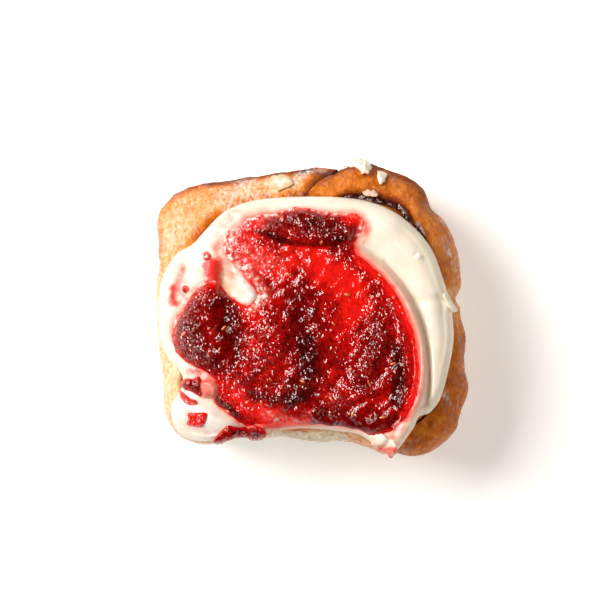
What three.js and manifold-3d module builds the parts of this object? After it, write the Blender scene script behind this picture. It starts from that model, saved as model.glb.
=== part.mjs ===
// A cream cheese sweet roll: a strip of soft dough coiled round berry filling, a thick swirl
// of cream cheese frosting spread over its top, and berry jam with its seeds on the frosting.
// Sizes are in millimetres, +Z is up, the roll stands on z = 0 and is centred on the Z axis.
import * as THREE from "three";
import { mergeVertices } from "three/addons/utils/BufferGeometryUtils.js";
import Module from "manifold-3d";

const wasm = await Module();
wasm.setup();

// Dough: heights, the shape of its side, and the coil
const CROWN = 49; // top of the dough at the middle
const WAIST = 21; // height at which the side is widest
const SHOULDER_POWER = 4; // superellipse power of the rounded top edge
const FOOT_TUCK = 0.07; // share of the radius by which the side draws in at the foot
const UNEVENNESS = 0.5; // rise and fall of the baked top
const LOOSE_END = 79; // degrees, where the strip's outer end lies on the side
const TIP = 2.5; // degrees from there at which the thin tip begins
const CORE_RADIUS = 3; // filling in the eye of the coil
const FILLING = 1.4; // thickness of the filling between two turns
const CLEARANCE = 0.3; // gap between touching pieces
const BED_CLEARANCE = 0.4; // gap between the dough's crown and what lies on it
const SEAM_DEPTH = 3.4; // depth of the groove where two turns meet
const SEAM_REACH = 4.6; // half the width of that groove

// Frosting and jam: thicknesses above what they lie on
const FROSTING_BED = 4.2; // frosting under the jam
const LIP_REACH = 3.4; // width of the frosting's rounded edge
const JAM_EDGE = 1.0; // jam near its edge
const JAM_SLOPE = 0.9; // width over which the jam rises from its edge
const SEED_SIZE = [2.3, 1.3, 0.9]; // length, width and thickness of a berry seed
const SEED_COUNT = 26;

// Outlines round the Z axis, as [degrees, radius]. A smooth closed curve joins the points.
const ROLL_OUTLINE = [
  [4, 49], [8, 51.1], [14, 51.7], [22, 53.3], [32, 53.6], [40, 53], [48, 55.3],
  [60, 53.9], [71, 52.4], [79, 47.8], [87, 47.4], [99, 47.1], [110, 48], [118, 50.2],
  [124, 52], [132, 56.6], [140, 60.5], [148, 60.8], [157, 56.9], [164, 54.2], [172, 53.2],
  [184, 52.8], [199, 54.6], [208, 57.6], [217, 61.8], [225, 62.5], [233, 58], [237, 54.3],
  [241, 50.4], [247, 49], [252, 46.5], [257, 44.8], [261, 44.7], [270, 45.3], [282, 46.2],
  [289, 49], [296, 54.8], [300, 56.8], [304, 60.8], [311, 63.7], [319, 63.8], [326, 61.2],
  [332, 59.7], [340, 55.2], [348, 53.1], [356, 50.9], [360, 50.2],
];
const FROSTING_OUTLINE = [
  [8, 45.1], [16, 44.4], [28, 44.2], [42, 42.9], [58, 40.8], [74, 38.3], [90, 37.1], [106, 38.3],
  [120, 41], [132, 43.3], [145, 44.1], [152, 45.2], [158, 48.4], [168, 50.8], [180, 51.2],
  [191, 51.6], [199, 50.8], [206, 48.8], [211, 49.6], [215, 55.5], [220, 60], [227, 59.6],
  [233, 55], [241, 47.8], [248, 44.4], [256, 42.2], [264, 40.9], [274, 41.1], [283, 42.9],
  [290, 45], [293, 47.6], [296, 52.8], [299, 55.4], [302, 54.8], [306, 53.4], [313, 51.4],
  [317, 51.9], [326, 51.4], [336, 49.7], [347, 48.3], [357, 46.8], [2, 46.7],
];

// How thick the strip's outer turn is, as [degrees from the loose end, thickness]
const OUTER_TURN = [
  [0, 0], [8, 5.2], [16, 10.2], [26, 12.6], [45, 14.5], [60, 19], [70, 19], [82, 15],
  [100, 13.5], [135, 9.5], [158, 9], [200, 12], [260, 12], [288, 11.4], [302, 11],
  [311, 9.6], [322, 10], [336, 11.8], [348, 13.2], [360, 12.8],
];

// Where the seams inside it lie, as [degrees from the loose end, share of the radius]
const INNER_SEAMS = [
  [360, 0.73], [372, 0.68], [395, 0.59], [415, 0.545], [461, 0.54], [495, 0.6], [518, 0.58],
  [533, 0.582], [551, 0.562], [563, 0.568], [576, 0.56], [601, 0.56], [641, 0.55],
  [670, 0.55], [695, 0.53], [720, 0.49], [745, 0.41],
  [775, 0.34], [820, 0.33], [860, 0.36], [910, 0.33], [960, 0.32], [1010, 0.3],
  [1050, 0.27], [1080, 0.24], [1110, 0.17], [1140, 0.1], [1170, 0.05],
];

// Soft ridges and hollows of the frosting: a curve along the crest, the reach to each side
// and the rise at its start, middle and end
const OUTER_BAND = ridge(
  [[-26, 30], [-14, 35], [0, 35.4], [13, 34.2], [24, 28.4], [33, 19.2], [39, 9],
   [42.4, -3], [42, -16], [39.5, -27], [36, -33]],
  8.5, [0.6, 3.4, 2.6],
);
const INNER_BAND = ridge(
  [[12, 21.4], [18, 17], [23.6, 12.6], [28.6, 7], [32.5, 0.6], [35.3, -6.8],
   [36.6, -14], [36.6, -22], [35.2, -29.6], [32.6, -35.8], [29.2, -41.4], [26, -46]],
  4.2, [1.4, 4.2, 3.4],
);
const SPOON_HOLLOW = ridge([[2, 8], [14, 0], [16, -14], [6, -26]], 15, [-1.2, -2.6, -1.4]);
const FRONT_LOBE = ridge([[-42, -33.5], [-35, -38.4], [-25, -41.5]], 9, [2.4, 3, 1]);
const FRONT_FOLD = ridge(
  [[-47, -27.6], [-41, -28.6], [-34, -30.6], [-27, -35], [-20, -40]], 4.6, [-2.4, -2.8, -1.2],
);
const MOUND = ridge([[-22.5, 8.5], [-19.5, 5]], 5, [2.2, 3, 2.2]);
const DIMPLE = ridge([[-28, 12], [-27, 6]], 3.4, [-1.2, -2.4, -1.4]);
const FROSTING_FORMS = [
  OUTER_BAND, INNER_BAND, SPOON_HOLLOW, FRONT_LOBE, FRONT_FOLD, MOUND, DIMPLE,
];

// Jam: the outline of the main spread and of the bits beside it, and the ridges on the spread
const JAM_OUTLINE = [
  [13.8, 21], [16, 25], [16.4, 28], [12.6, 30.8], [4, 31.8], [-4, 33.4], [-12, 31.6],
  [-20.6, 30.4], [-26.6, 27], [-29.4, 22.4], [-28.6, 17.4], [-24.4, 13], [-21.8, 9.6],
  [-18, 4.6], [-20.2, 1.2], [-25, 2.2], [-29.6, 6.4], [-34, 9.6], [-37.6, 7.6], [-41.4, 2],
  [-45.6, -4], [-46.6, -10], [-44.8, -15], [-40.4, -18.8], [-34.4, -21.6], [-31.4, -25.2],
  [-31.6, -28.6], [-32.6, -31], [-29, -34.2], [-24.4, -37.6], [-19.4, -39.8], [-14, -40.4],
  [-9, -39.8], [-4, -39.2], [4, -39.2], [10, -40.4], [16, -41.4], [21, -41.4], [25.6, -39.4],
  [30, -36], [33, -31.6], [34.9, -26], [35.1, -18], [33.5, -9], [30.8, -1.2], [26.6, 6.4],
  [21, 12.6], [16, 17],
];
const JAM_FORMS = [
  ridge([[-14, 28], [-4, 28.4], [6, 26], [13, 25]], 7.5, [1.4, 2.6, 1.6]), // lump at the back
  ridge([[-36, 3], [-38.4, -8], [-34, -15]], 9.5, [1.8, 3.2, 2.2]), // lump on the left
  ridge([[-17, 1], [-13, -8], [-17, -17], [-24, -23]], 8, [1, 2.6, 1.2]), // broad middle hump
  ridge([[17, 8], [22.4, -3], [22.6, -12], [17, -22], [8, -30]], 4.6, [0.8, 2, 1]),
  ridge([[27.4, 2], [31.2, -10], [32.4, -24], [28, -34], [20, -39]], 3, [0.6, 1.6, 0.8]),
  ridge([[10, -30], [18, -28], [26, -24]], 3, [0.6, 1.4, 0.6]),
  ridge([[-4, -3], [-1, -13]], 4.4, [-0.6, -1.2, -0.6]), // hollow at the middle
];
const JAM_BITS = {
  jam_drip: [[-32.6, -43.8], [-30.2, -41.6], [-28, -39.6], [-23.4, -39.6], [-19.6, -39.6],
    [-16.4, -41.2], [-16.4, -42], [-18, -42.8], [-20.4, -43], [-24.4, -42.8], [-28.6, -43.8],
    [-30.6, -44.8]],
  jam_bit_front: [[-41, -36.6], [-38.6, -34.4], [-34.6, -35.2], [-35.8, -38.8], [-38.6, -39.4]],
  jam_bit_left: [[-43.4, -25.6], [-40.8, -23], [-37.6, -24.2], [-37.4, -28.6], [-40.6, -27.8]],
};
const BIT_THICKNESS = 1.9;
const ASIDE = [[0, 0], [1, 0], [-1, 0], [0, 1], [0, -1]]; // a place and four places beside it

// Dabs of frosting on the crust: [angle, share of the roll's radius, length, width, height]
const FROSTING_DABS = {
  frosting_dab_back: [71, 0.96, 9.6, 3.6, 2.6],
  frosting_dab_small: [62.5, 0.92, 2.8, 2.2, 1.8],
  frosting_dab_left: [104, 0.9, 4, 2.2, 1.6],
};

const radians = THREE.MathUtils.degToRad;
const clamp = THREE.MathUtils.clamp;

// The smooth value at x of a table of [x, value] points. A period closes it into a loop.
function along(table, x, period) {
  const points = [...table].sort((a, b) => a[0] - b[0]);
  const count = points.length;
  const at = (i) => {
    if (!period) return points[clamp(i, 0, count - 1)];
    const turns = Math.floor(i / count);
    const [key, value] = points[i - turns * count];
    return [key + turns * period, value];
  };
  const key = period ? points[0][0] + THREE.MathUtils.euclideanModulo(x - points[0][0], period) : x;
  let i = 0;
  while (i < count - (period ? 1 : 2) && at(i + 1)[0] <= key) i++;
  const [before, start, end, after] = [at(i - 1), at(i), at(i + 1), at(i + 2)];
  const span = end[0] - start[0];
  const slope = (a, b) => (b[0] === a[0] ? 0 : (b[1] - a[1]) / (b[0] - a[0]));
  const leave = slope(before, end) * span;
  const arrive = slope(start, after) * span;
  const t = clamp((key - start[0]) / span, 0, 1);
  return (
    start[1] * (2 * t ** 3 - 3 * t ** 2 + 1) +
    leave * (t ** 3 - 2 * t ** 2 + t) +
    end[1] * (3 * t ** 2 - 2 * t ** 3) +
    arrive * (t ** 3 - t ** 2)
  );
}

const rollRadius = (degrees) => along(ROLL_OUTLINE, degrees, 360);
const frostingRadius = (degrees) => along(FROSTING_OUTLINE, degrees, 360);
const degreesOf = (x, y) => THREE.MathUtils.radToDeg(Math.atan2(y, x));

// The nearest point of a polyline: where it is, its distance and how far along it lies
function nearest(line, x, y) {
  let best = { distance: Infinity };
  for (let i = 0; i + 1 < line.length; i++) {
    const [a, b] = [line[i], line[i + 1]];
    const [dx, dy] = [b.x - a.x, b.y - a.y];
    const t = clamp(((x - a.x) * dx + (y - a.y) * dy) / (dx * dx + dy * dy), 0, 1);
    const at = [a.x + t * dx, a.y + t * dy];
    const distance = Math.hypot(x - at[0], y - at[1]);
    if (distance < best.distance) best = { at, distance, share: (i + t) / (line.length - 1) };
  }
  return best;
}

// A soft ridge, or a hollow where the rise is negative, as a function of x and y
function ridge(points, reach, [start, middle, end]) {
  const curve = new THREE.SplineCurve(points.map(([x, y]) => new THREE.Vector2(x, y)));
  const line = curve.getPoints(points.length * 4);
  return (x, y) => {
    const { distance, share } = nearest(line, x, y);
    if (distance >= reach) return 0;
    const [from, to, part] = share < 0.5 ? [start, middle, 2 * share] : [middle, end, 2 * share - 1];
    return THREE.MathUtils.lerp(from, to, part) * (1 - (distance / reach) ** 2) ** 2;
  };
}

const sumOf = (forms, x, y) => forms.reduce((sum, form) => sum + form(x, y), 0);

// How far a point lies inside a closed outline, negative outside, and the outline's nearest point
function insideOf(points) {
  const corners = points.map(([x, y]) => new THREE.Vector3(x, y, 0));
  const line = new THREE.CatmullRomCurve3(corners, true, "centripetal").getPoints(points.length * 4);
  return (x, y) => {
    let inside = false;
    for (let i = 0; i + 1 < line.length; i++) {
      const [a, b] = [line[i], line[i + 1]];
      if (a.y > y !== b.y > y && x < ((b.x - a.x) * (y - a.y)) / (b.y - a.y) + a.x) inside = !inside;
    }
    const { at, distance } = nearest(line, x, y);
    return { depth: inside ? distance : -distance, edge: at };
  };
}

// Height of the dough's smooth top at a share of the radius, before the coil's grooves
function doughTop(share, x, y) {
  const arch = Math.max(0, 1 - Math.min(share, 1) ** SHOULDER_POWER) ** (1 / SHOULDER_POWER);
  const waves = Math.sin(x / 6.5 + 1) * Math.sin(y / 5.5) + 0.6 * Math.sin((x + y) / 4.2);
  return WAIST + (CROWN - WAIST) * arch + UNEVENNESS * waves * arch;
}

function topAt(x, y) {
  return doughTop(Math.hypot(x, y) / rollRadius(degreesOf(x, y)), x, y);
}

// Radius of the side at a height below the waist
const sideRadius = (radius, z) => radius * (1 - FOOT_TUCK * Math.max(0, 1 - z / WAIST) ** 2);

// The groove beside a seam at a distance from it
const groove = (distance) => SEAM_DEPTH * Math.max(0, 1 - distance / SEAM_REACH) ** 2;

// Radius of the seam between turns, at degrees counted inwards from the loose end
function seamRadius(turned) {
  const radius = rollRadius(LOOSE_END + turned);
  if (turned <= 360) return radius - along(OUTER_TURN, Math.max(turned, 0));
  return Math.max(CORE_RADIUS, radius * along(INNER_SEAMS, turned));
}

// Half the space between two turns, which opens gradually from the loose end
function seamHalfGap(turned) {
  return (FILLING / 2 + CLEARANCE) * THREE.MathUtils.smoothstep(turned, 0, 22);
}

// A closed solid from rings of points: a skin between neighbouring rings and a cap at each end
function loft(rings) {
  const size = rings[0].length;
  const positions = rings.flat().flatMap((p) => [p.x, p.y, p.z]);
  const index = [];
  for (let i = 0; i + 1 < rings.length; i++) {
    for (let j = 0; j < size; j++) {
      const [a, b] = [i * size + j, i * size + ((j + 1) % size)];
      index.push(a, b, b + size, a, b + size, a + size);
    }
  }
  const last = (rings.length - 1) * size;
  const capOf = (ring) => {
    const flat = ring.map((p) => new THREE.Vector2(Math.hypot(p.x, p.y), p.z));
    const faces = THREE.ShapeUtils.triangulateShape(flat, []);
    return THREE.ShapeUtils.isClockWise(flat) ? faces.map(([a, b, c]) => [a, c, b]) : faces;
  };
  for (const [a, b, c] of capOf(rings[0])) index.push(a, c, b);
  for (const [a, b, c] of capOf(rings[rings.length - 1])) index.push(last + a, last + b, last + c);
  return solid(positions, index);
}

// A closed solid from its corner positions and triangles, turned to face outwards
function solid(positions, index) {
  const geometry = new THREE.BufferGeometry();
  geometry.setAttribute("position", new THREE.Float32BufferAttribute(positions, 3));
  geometry.setIndex(index);
  return manifoldOf(geometry);
}

function manifoldOf(geometry) {
  const bare = geometry.clone();
  bare.deleteAttribute("normal");
  bare.deleteAttribute("uv");
  const merged = mergeVertices(bare, 1e-4);
  const triVerts = new Uint32Array(merged.index.array);
  const vertProperties = new Float32Array(merged.attributes.position.array);
  let made = new wasm.Manifold(new wasm.Mesh({ numProp: 3, vertProperties, triVerts }));
  if (made.volume() < 0) {
    for (let i = 0; i < triVerts.length; i += 3) {
      [triVerts[i + 1], triVerts[i + 2]] = [triVerts[i + 2], triVerts[i + 1]];
    }
    made = new wasm.Manifold(new wasm.Mesh({ numProp: 3, vertProperties, triVerts }));
  }
  return made;
}

// The largest piece of a cut solid
function largest(cut) {
  return cut.decompose().sort((a, b) => b.volume() - a.volume())[0];
}

// Point at an angle round the axis, a radius and a height
function polarPoint(degrees, radius, z) {
  return new THREE.Vector3(radius * Math.cos(radians(degrees)), radius * Math.sin(radians(degrees)), z);
}

// The angles at which the coil is cut into sections, the same in every turn so that
// neighbouring walls run side by side, and every second one in the small inner turns
function coilAngles(from, to) {
  const STEP = 7.5;
  const angles = [];
  for (let turned = from; turned <= to; turned += turned < 735 ? STEP : 2 * STEP) angles.push(turned);
  return angles;
}

// The strip's section: up its inner wall, over its domed top and down its outer side
function stripSection(turned) {
  const TOP_STEPS = 6;
  const SIDE_STEPS = 3;
  const THINNEST = 0.9;
  const degrees = LOOSE_END + turned;
  const roll = rollRadius(degrees);
  const outermost = turned <= 360;
  const inner = seamRadius(turned) + seamHalfGap(turned);
  const outer = outermost ? roll : seamRadius(turned - 360) - seamHalfGap(turned - 360);
  const angleOf = (radius) => Math.asin(Math.min(1, radius / roll) ** 2);
  const [from, to] = [angleOf(inner), angleOf(outer)];
  const ring = [];
  for (let i = 0; i <= TOP_STEPS; i++) {
    const share = Math.sqrt(Math.sin(from + ((to - from) * i) / TOP_STEPS));
    const radius = roll * share;
    const place = polarPoint(degrees, radius, 0);
    const dip = groove(radius - inner) + (outermost ? 0 : groove(outer - radius));
    ring.push(place.setZ(doughTop(share, place.x, place.y) - dip * Math.min(1, turned / 30)));
  }
  const brow = ring[TOP_STEPS].z;
  for (let i = 1; i <= SIDE_STEPS; i++) {
    const z = brow * (1 - i / SIDE_STEPS);
    ring.push(polarPoint(degrees, Math.max(inner + THINNEST, Math.min(outer, sideRadius(roll, z))), z));
  }
  ring.push(polarPoint(degrees, inner, 0));
  return ring;
}

function dough() {
  const STRIP_END = 1485;
  const angles = [TIP, ...coilAngles(7.5, 360), 360 + TIP, ...coilAngles(367.5, STRIP_END)];
  return loft(angles.map(stripSection));
}

// The filling: a wall that follows the seam through the roll's height, and the eye it ends in
function filling() {
  const WALL_START = 15;
  const WALL_END = 1155;
  const FOOT = 0.6;
  const PROUD = 0.9;
  const rings = coilAngles(WALL_START, WALL_END).map((turned) => {
    const degrees = LOOSE_END + turned;
    const seam = seamRadius(turned);
    const half = seamHalfGap(turned) - CLEARANCE;
    const middle = polarPoint(degrees, seam, 0);
    const groovesOf = groove(0) * Math.min(1, turned / 30);
    const z = doughTop(seam / rollRadius(degrees), middle.x, middle.y) - groovesOf;
    return [
      polarPoint(degrees, seam - half, z),
      middle.setZ(z + PROUD),
      polarPoint(degrees, seam + half, z),
      polarPoint(degrees, seam + half, FOOT),
      polarPoint(degrees, seam - half, FOOT),
    ];
  });
  const eyeTop = topAt(0, 0) - SEAM_DEPTH;
  const eyeRadius = CORE_RADIUS + FILLING / 2;
  const eye = new THREE.CylinderGeometry(eyeRadius, eyeRadius, eyeTop - FOOT, 16);
  eye.rotateX(Math.PI / 2).translate(0, 0, (eyeTop + FOOT) / 2);
  return largest(loft(rings).add(manifoldOf(eye)));
}

// A closed solid under a surface given by rings of radii round the axis, down to a flat floor
function dome(angles, ringCount, pointAt, floor) {
  const positions = [0, 0, pointAt(0, 0).z];
  const index = [];
  const count = angles.length;
  for (let ring = 1; ring <= ringCount; ring++) {
    for (const degrees of angles) positions.push(...pointAt(degrees, ring / ringCount).toArray());
  }
  for (const degrees of angles) {
    const rim = pointAt(degrees, 1);
    positions.push(rim.x, rim.y, floor);
  }
  positions.push(0, 0, floor);
  const bottom = positions.length / 3 - 1;
  const at = (ring, i) => 1 + ring * count + (i % count);
  for (let i = 0; i < count; i++) {
    index.push(0, at(0, i), at(0, i + 1));
    for (let ring = 0; ring < ringCount; ring++) {
      const [a, b, c, d] = [at(ring, i), at(ring, i + 1), at(ring + 1, i + 1), at(ring + 1, i)];
      index.push(a, c, b, a, d, c);
    }
    index.push(bottom, at(ringCount, i + 1), at(ringCount, i));
  }
  return solid(positions, index);
}

// What the frosting lies on: the dough's top without its grooves, grown by the clearance
function bakedTop() {
  const angles = coilAngles(0, 352.5).map((turned) => LOOSE_END + turned);
  const pointAt = (degrees, share) => {
    const reach = 1 - (1 - share) ** 1.6;
    const at = polarPoint(degrees, rollRadius(degrees) * reach, 0);
    const z = doughTop(reach, at.x, at.y) + BED_CLEARANCE;
    return polarPoint(degrees, rollRadius(degrees) * reach + CLEARANCE * reach, z);
  };
  return dome(angles, 12, pointAt, WAIST / 2);
}

// Height of the frosting's top: a soft lip at its edge, then the spread's own ridges
function frostingTop(x, y) {
  const inside = frostingRadius(degreesOf(x, y)) - Math.hypot(x, y);
  const lip = Math.sqrt(Math.max(0, 1 - Math.max(0, 1 - inside / LIP_REACH) ** 2));
  const thickness = Math.max(1.6, FROSTING_BED + sumOf(FROSTING_FORMS, x, y));
  return topAt(x, y) + CLEARANCE + thickness * (inside > 0 ? lip : 0);
}

function frosting(lyingOn) {
  const SECTORS = 72;
  const RINGS = 16;
  const LIP_RINGS = 4;
  const angles = Array.from({ length: SECTORS }, (_, i) => (i * 360) / SECTORS);
  const pointAt = (degrees, share) => {
    const rim = frostingRadius(degrees);
    const ring = Math.round(share * RINGS);
    const fromRim = RINGS - ring;
    const radius =
      fromRim < LIP_RINGS
        ? rim - LIP_REACH * (1 - Math.cos((fromRim / LIP_RINGS) * (Math.PI / 2)))
        : ((rim - LIP_REACH) * ring) / (RINGS - LIP_RINGS);
    const at = polarPoint(degrees, radius, 0);
    return at.setZ(fromRim === 0 ? topAt(at.x, at.y) : frostingTop(at.x, at.y));
  };
  return largest(dome(angles, RINGS, pointAt, WAIST).subtract(lyingOn));
}

// A spread of jam: a sheet of square cells whose border is drawn in to the outline. Its root
// reaches into what it lies on, which is then cut away from it.
function spread(outline, cell, root, thicknessAt, bedAt, lyingOn) {
  const inside = insideOf(outline);
  const { min, max } = new THREE.Box2().setFromPoints(outline.map(([x, y]) => new THREE.Vector2(x, y)));
  const [x0, y0] = [min.x - 1.5 * cell, min.y - 1.5 * cell];
  const columns = Math.ceil((max.x + cell - x0) / cell);
  const rows = Math.ceil((max.y + cell - y0) / cell);
  const corners = [];
  for (let row = 0; row <= rows; row++) {
    for (let column = 0; column <= columns; column++) {
      const [x, y] = [x0 + column * cell, y0 + row * cell];
      const { depth, edge } = inside(x, y);
      const within = depth > cell * 0.35;
      corners.push({ within, at: within ? [x, y] : edge, depth: within ? depth : 0 });
    }
  }
  const corner = (column, row) => row * (columns + 1) + column;
  const cornersOf = (column, row) => [
    corner(column, row), corner(column + 1, row), corner(column + 1, row + 1), corner(column, row + 1),
  ];
  const used = (column, row) => cornersOf(column, row).some((i) => corners[i].within);
  const positions = corners.flatMap(({ at: [x, y], depth }) => {
    const bed = bedAt(x, y);
    return [x, y, bed + thicknessAt(x, y, depth), x, y, bed - root];
  });
  const index = [];
  for (let row = 0; row < rows; row++) {
    for (let column = 0; column < columns; column++) {
      if (!used(column, row)) continue;
      const [a, b, c, d] = cornersOf(column, row).map((i) => 2 * i);
      index.push(a, b, c, a, c, d, a + 1, c + 1, b + 1, a + 1, d + 1, c + 1);
      const sides = [
        [a, b, used(column, row - 1)], [b, c, used(column + 1, row)],
        [c, d, used(column, row + 1)], [d, a, used(column - 1, row)],
      ];
      for (const [from, to, shared] of sides) {
        if (!shared) index.push(from, from + 1, to + 1, from, to + 1, to);
      }
    }
  }
  return largest(solid(positions, index).subtract(lyingOn));
}

// A repeatable random number between 0 and 1
function randomSource(seed) {
  let state = seed;
  return () => {
    state = (state * 1664525 + 1013904223) % 4294967296;
    return state / 4294967296;
  };
}

function jamThickness(x, y, depth) {
  const pulp = 0.35 * Math.sin(x * 0.95 + 1.3 * Math.sin(y * 0.5)) * Math.sin(y * 0.85 + 0.7);
  const body = Math.max(0.2, JAM_EDGE + sumOf(JAM_FORMS, x, y) + pulp);
  return body * (1 - Math.exp(-depth / JAM_SLOPE)) + CLEARANCE;
}

// The main spread of jam with the berry seeds that stand out of it
function jam(lyingOn) {
  const CELL = 2.6;
  const ROOT = 1.1;
  const SEED_SPACING = 6.5;
  const inside = insideOf(JAM_OUTLINE);
  let made = spread(JAM_OUTLINE, CELL, ROOT, jamThickness, frostingTop, lyingOn);
  const random = randomSource(7);
  const places = [];
  while (places.length < SEED_COUNT) {
    const [x, y] = [CROWN * (2 * random() - 1), CROWN * (2 * random() - 1)];
    const { depth } = inside(x, y);
    const near = places.some((p) => Math.hypot(p.x - x, p.y - y) < SEED_SPACING);
    if (depth < 2.5 || near) continue;
    const z = frostingTop(x, y) + jamThickness(x, y, depth);
    places.push(new THREE.Vector3(x, y, z));
  }
  for (const place of places) {
    const seed = new THREE.OctahedronGeometry(0.5, 0);
    seed.scale(...SEED_SIZE).rotateZ(Math.PI * random()).translate(place.x, place.y, place.z);
    made = made.add(manifoldOf(seed));
  }
  return largest(made);
}

function jamBit(outline, lyingOn) {
  const CELL = 1.5;
  const ROOT = 2.6;
  const DRAPE = 0.8;
  const bed = (x, y) => Math.max(...ASIDE.flatMap(([dx, dy]) => {
    const [px, py] = [x + DRAPE * dx, y + DRAPE * dy];
    return [frostingTop(px, py), topAt(px, py)];
  }));
  const thickness = (x, y, depth) => BIT_THICKNESS * (1 - Math.exp(-depth / 0.7)) + CLEARANCE;
  return spread(outline, CELL, ROOT, thickness, bed, lyingOn);
}

// A dab of frosting on the crust: three lumps in a row, cut by the crust
function dab([degrees, share, length, width, height], lyingOn) {
  const radius = rollRadius(degrees) * share;
  const middle = polarPoint(degrees, radius, 0);
  let made = null;
  for (const [along, size] of [[-0.3, 0.8], [0.02, 1], [0.32, 0.7]]) {
    const turned = degrees + THREE.MathUtils.radToDeg((along * length) / radius);
    const at = polarPoint(turned, radius, 0);
    const lump = new THREE.IcosahedronGeometry(0.5, 1);
    lump.scale(width * size, length * 0.5, height * 2 * size);
    lump.rotateZ(radians(degrees)).translate(at.x, at.y, topAt(middle.x, middle.y));
    const body = manifoldOf(lump);
    made = made ? made.add(body) : body;
  }
  return largest(made.subtract(lyingOn));
}

const MATERIALS = {
  crust: { color: 0xc98a4b, roughness: 0.6 },
  filling: { color: 0x3c0d0c, roughness: 0.35 },
  frosting: { color: 0xf7efdd, roughness: 0.45 },
  jam: { color: 0x8c0a0f, roughness: 0.2 },
};

const roll = new THREE.Group();

function place(name, made, look) {
  const { numProp, vertProperties, triVerts } = made.getMesh();
  const positions = [];
  for (let i = 0; i < vertProperties.length; i += numProp) {
    positions.push(...vertProperties.slice(i, i + 3));
  }
  const geometry = new THREE.BufferGeometry();
  geometry.setAttribute("position", new THREE.Float32BufferAttribute(positions, 3));
  geometry.setIndex([...triVerts]);
  geometry.computeVertexNormals();
  const material = new THREE.MeshStandardMaterial({ ...MATERIALS[look], metalness: 0 });
  const mesh = new THREE.Mesh(geometry, material);
  mesh.name = name;
  roll.add(mesh);
}

const crustTop = bakedTop();
const frostingSwirl = frosting(crustTop);
const underJam = frostingSwirl.translate([0, 0, CLEARANCE]);
const underBits = ASIDE.reduce(
  (sum, [x, y]) => sum.add(frostingSwirl.translate([x * CLEARANCE, y * CLEARANCE, 0])),
  underJam.add(crustTop),
);

place("dough_coil", dough(), "crust");
place("berry_filling", filling(), "filling");
place("frosting_swirl", frostingSwirl, "frosting");
place("jam_spread", jam(underJam), "jam");
for (const [name, outline] of Object.entries(JAM_BITS)) place(name, jamBit(outline, underBits), "jam");
for (const [name, sizes] of Object.entries(FROSTING_DABS)) place(name, dab(sizes, crustTop), "frosting");

export default roll;
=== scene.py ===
import math

import bmesh
import bpy
import numpy as np
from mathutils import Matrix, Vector, noise


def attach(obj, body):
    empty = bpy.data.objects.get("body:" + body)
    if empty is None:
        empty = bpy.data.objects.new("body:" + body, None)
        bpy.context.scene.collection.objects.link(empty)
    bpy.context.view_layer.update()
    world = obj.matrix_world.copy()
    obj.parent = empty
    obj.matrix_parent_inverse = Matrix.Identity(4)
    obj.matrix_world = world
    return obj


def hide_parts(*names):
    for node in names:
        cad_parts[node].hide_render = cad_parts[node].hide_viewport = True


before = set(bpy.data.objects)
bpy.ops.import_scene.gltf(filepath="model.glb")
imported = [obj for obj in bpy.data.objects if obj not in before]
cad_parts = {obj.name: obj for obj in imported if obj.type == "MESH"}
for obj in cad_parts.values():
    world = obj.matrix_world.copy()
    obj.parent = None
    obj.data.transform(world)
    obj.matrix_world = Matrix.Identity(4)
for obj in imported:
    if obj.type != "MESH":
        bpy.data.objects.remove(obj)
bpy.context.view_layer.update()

# Looks of a cream cheese sweet roll. Shapes are worked out in millimetres, in the frame of the
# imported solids: +Z up, standing on z = 0, the coil's loose end at the back (+Y).
MM = 0.001

# Dough: heights, the shape of its side, and the coil
CROWN = 49.0
WAIST = 21.0
SHOULDER_POWER = 4.0
FOOT_TUCK = 0.07
UNEVENNESS = 0.5
LOOSE_END = 79.0
CORE_RADIUS = 3.0
FILLING = 1.4
CLEARANCE = 0.3
SEAM_DEPTH = 3.4
SEAM_REACH = 4.6
TIP_DROP = 1.0
TIP_LENGTH = 30.0

# Frosting and jam: thicknesses above what they lie on
FROSTING_BED = 4.2
THINNEST = 0.6
LIP_REACH = 3.4
LIP_FALL = 0.67
JAM_EDGE = 1.0
JAM_INSET = 0.45
JAM_SLOPE = 1.3
SEED_SIZE = (2.2, 1.0, 0.8)

# Small bits: how far a soft bit hangs from what lies beside it, and how far aside that may lie
HANG = 0.7
NEARBY, FURTHER = 1.7, 3.4

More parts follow.
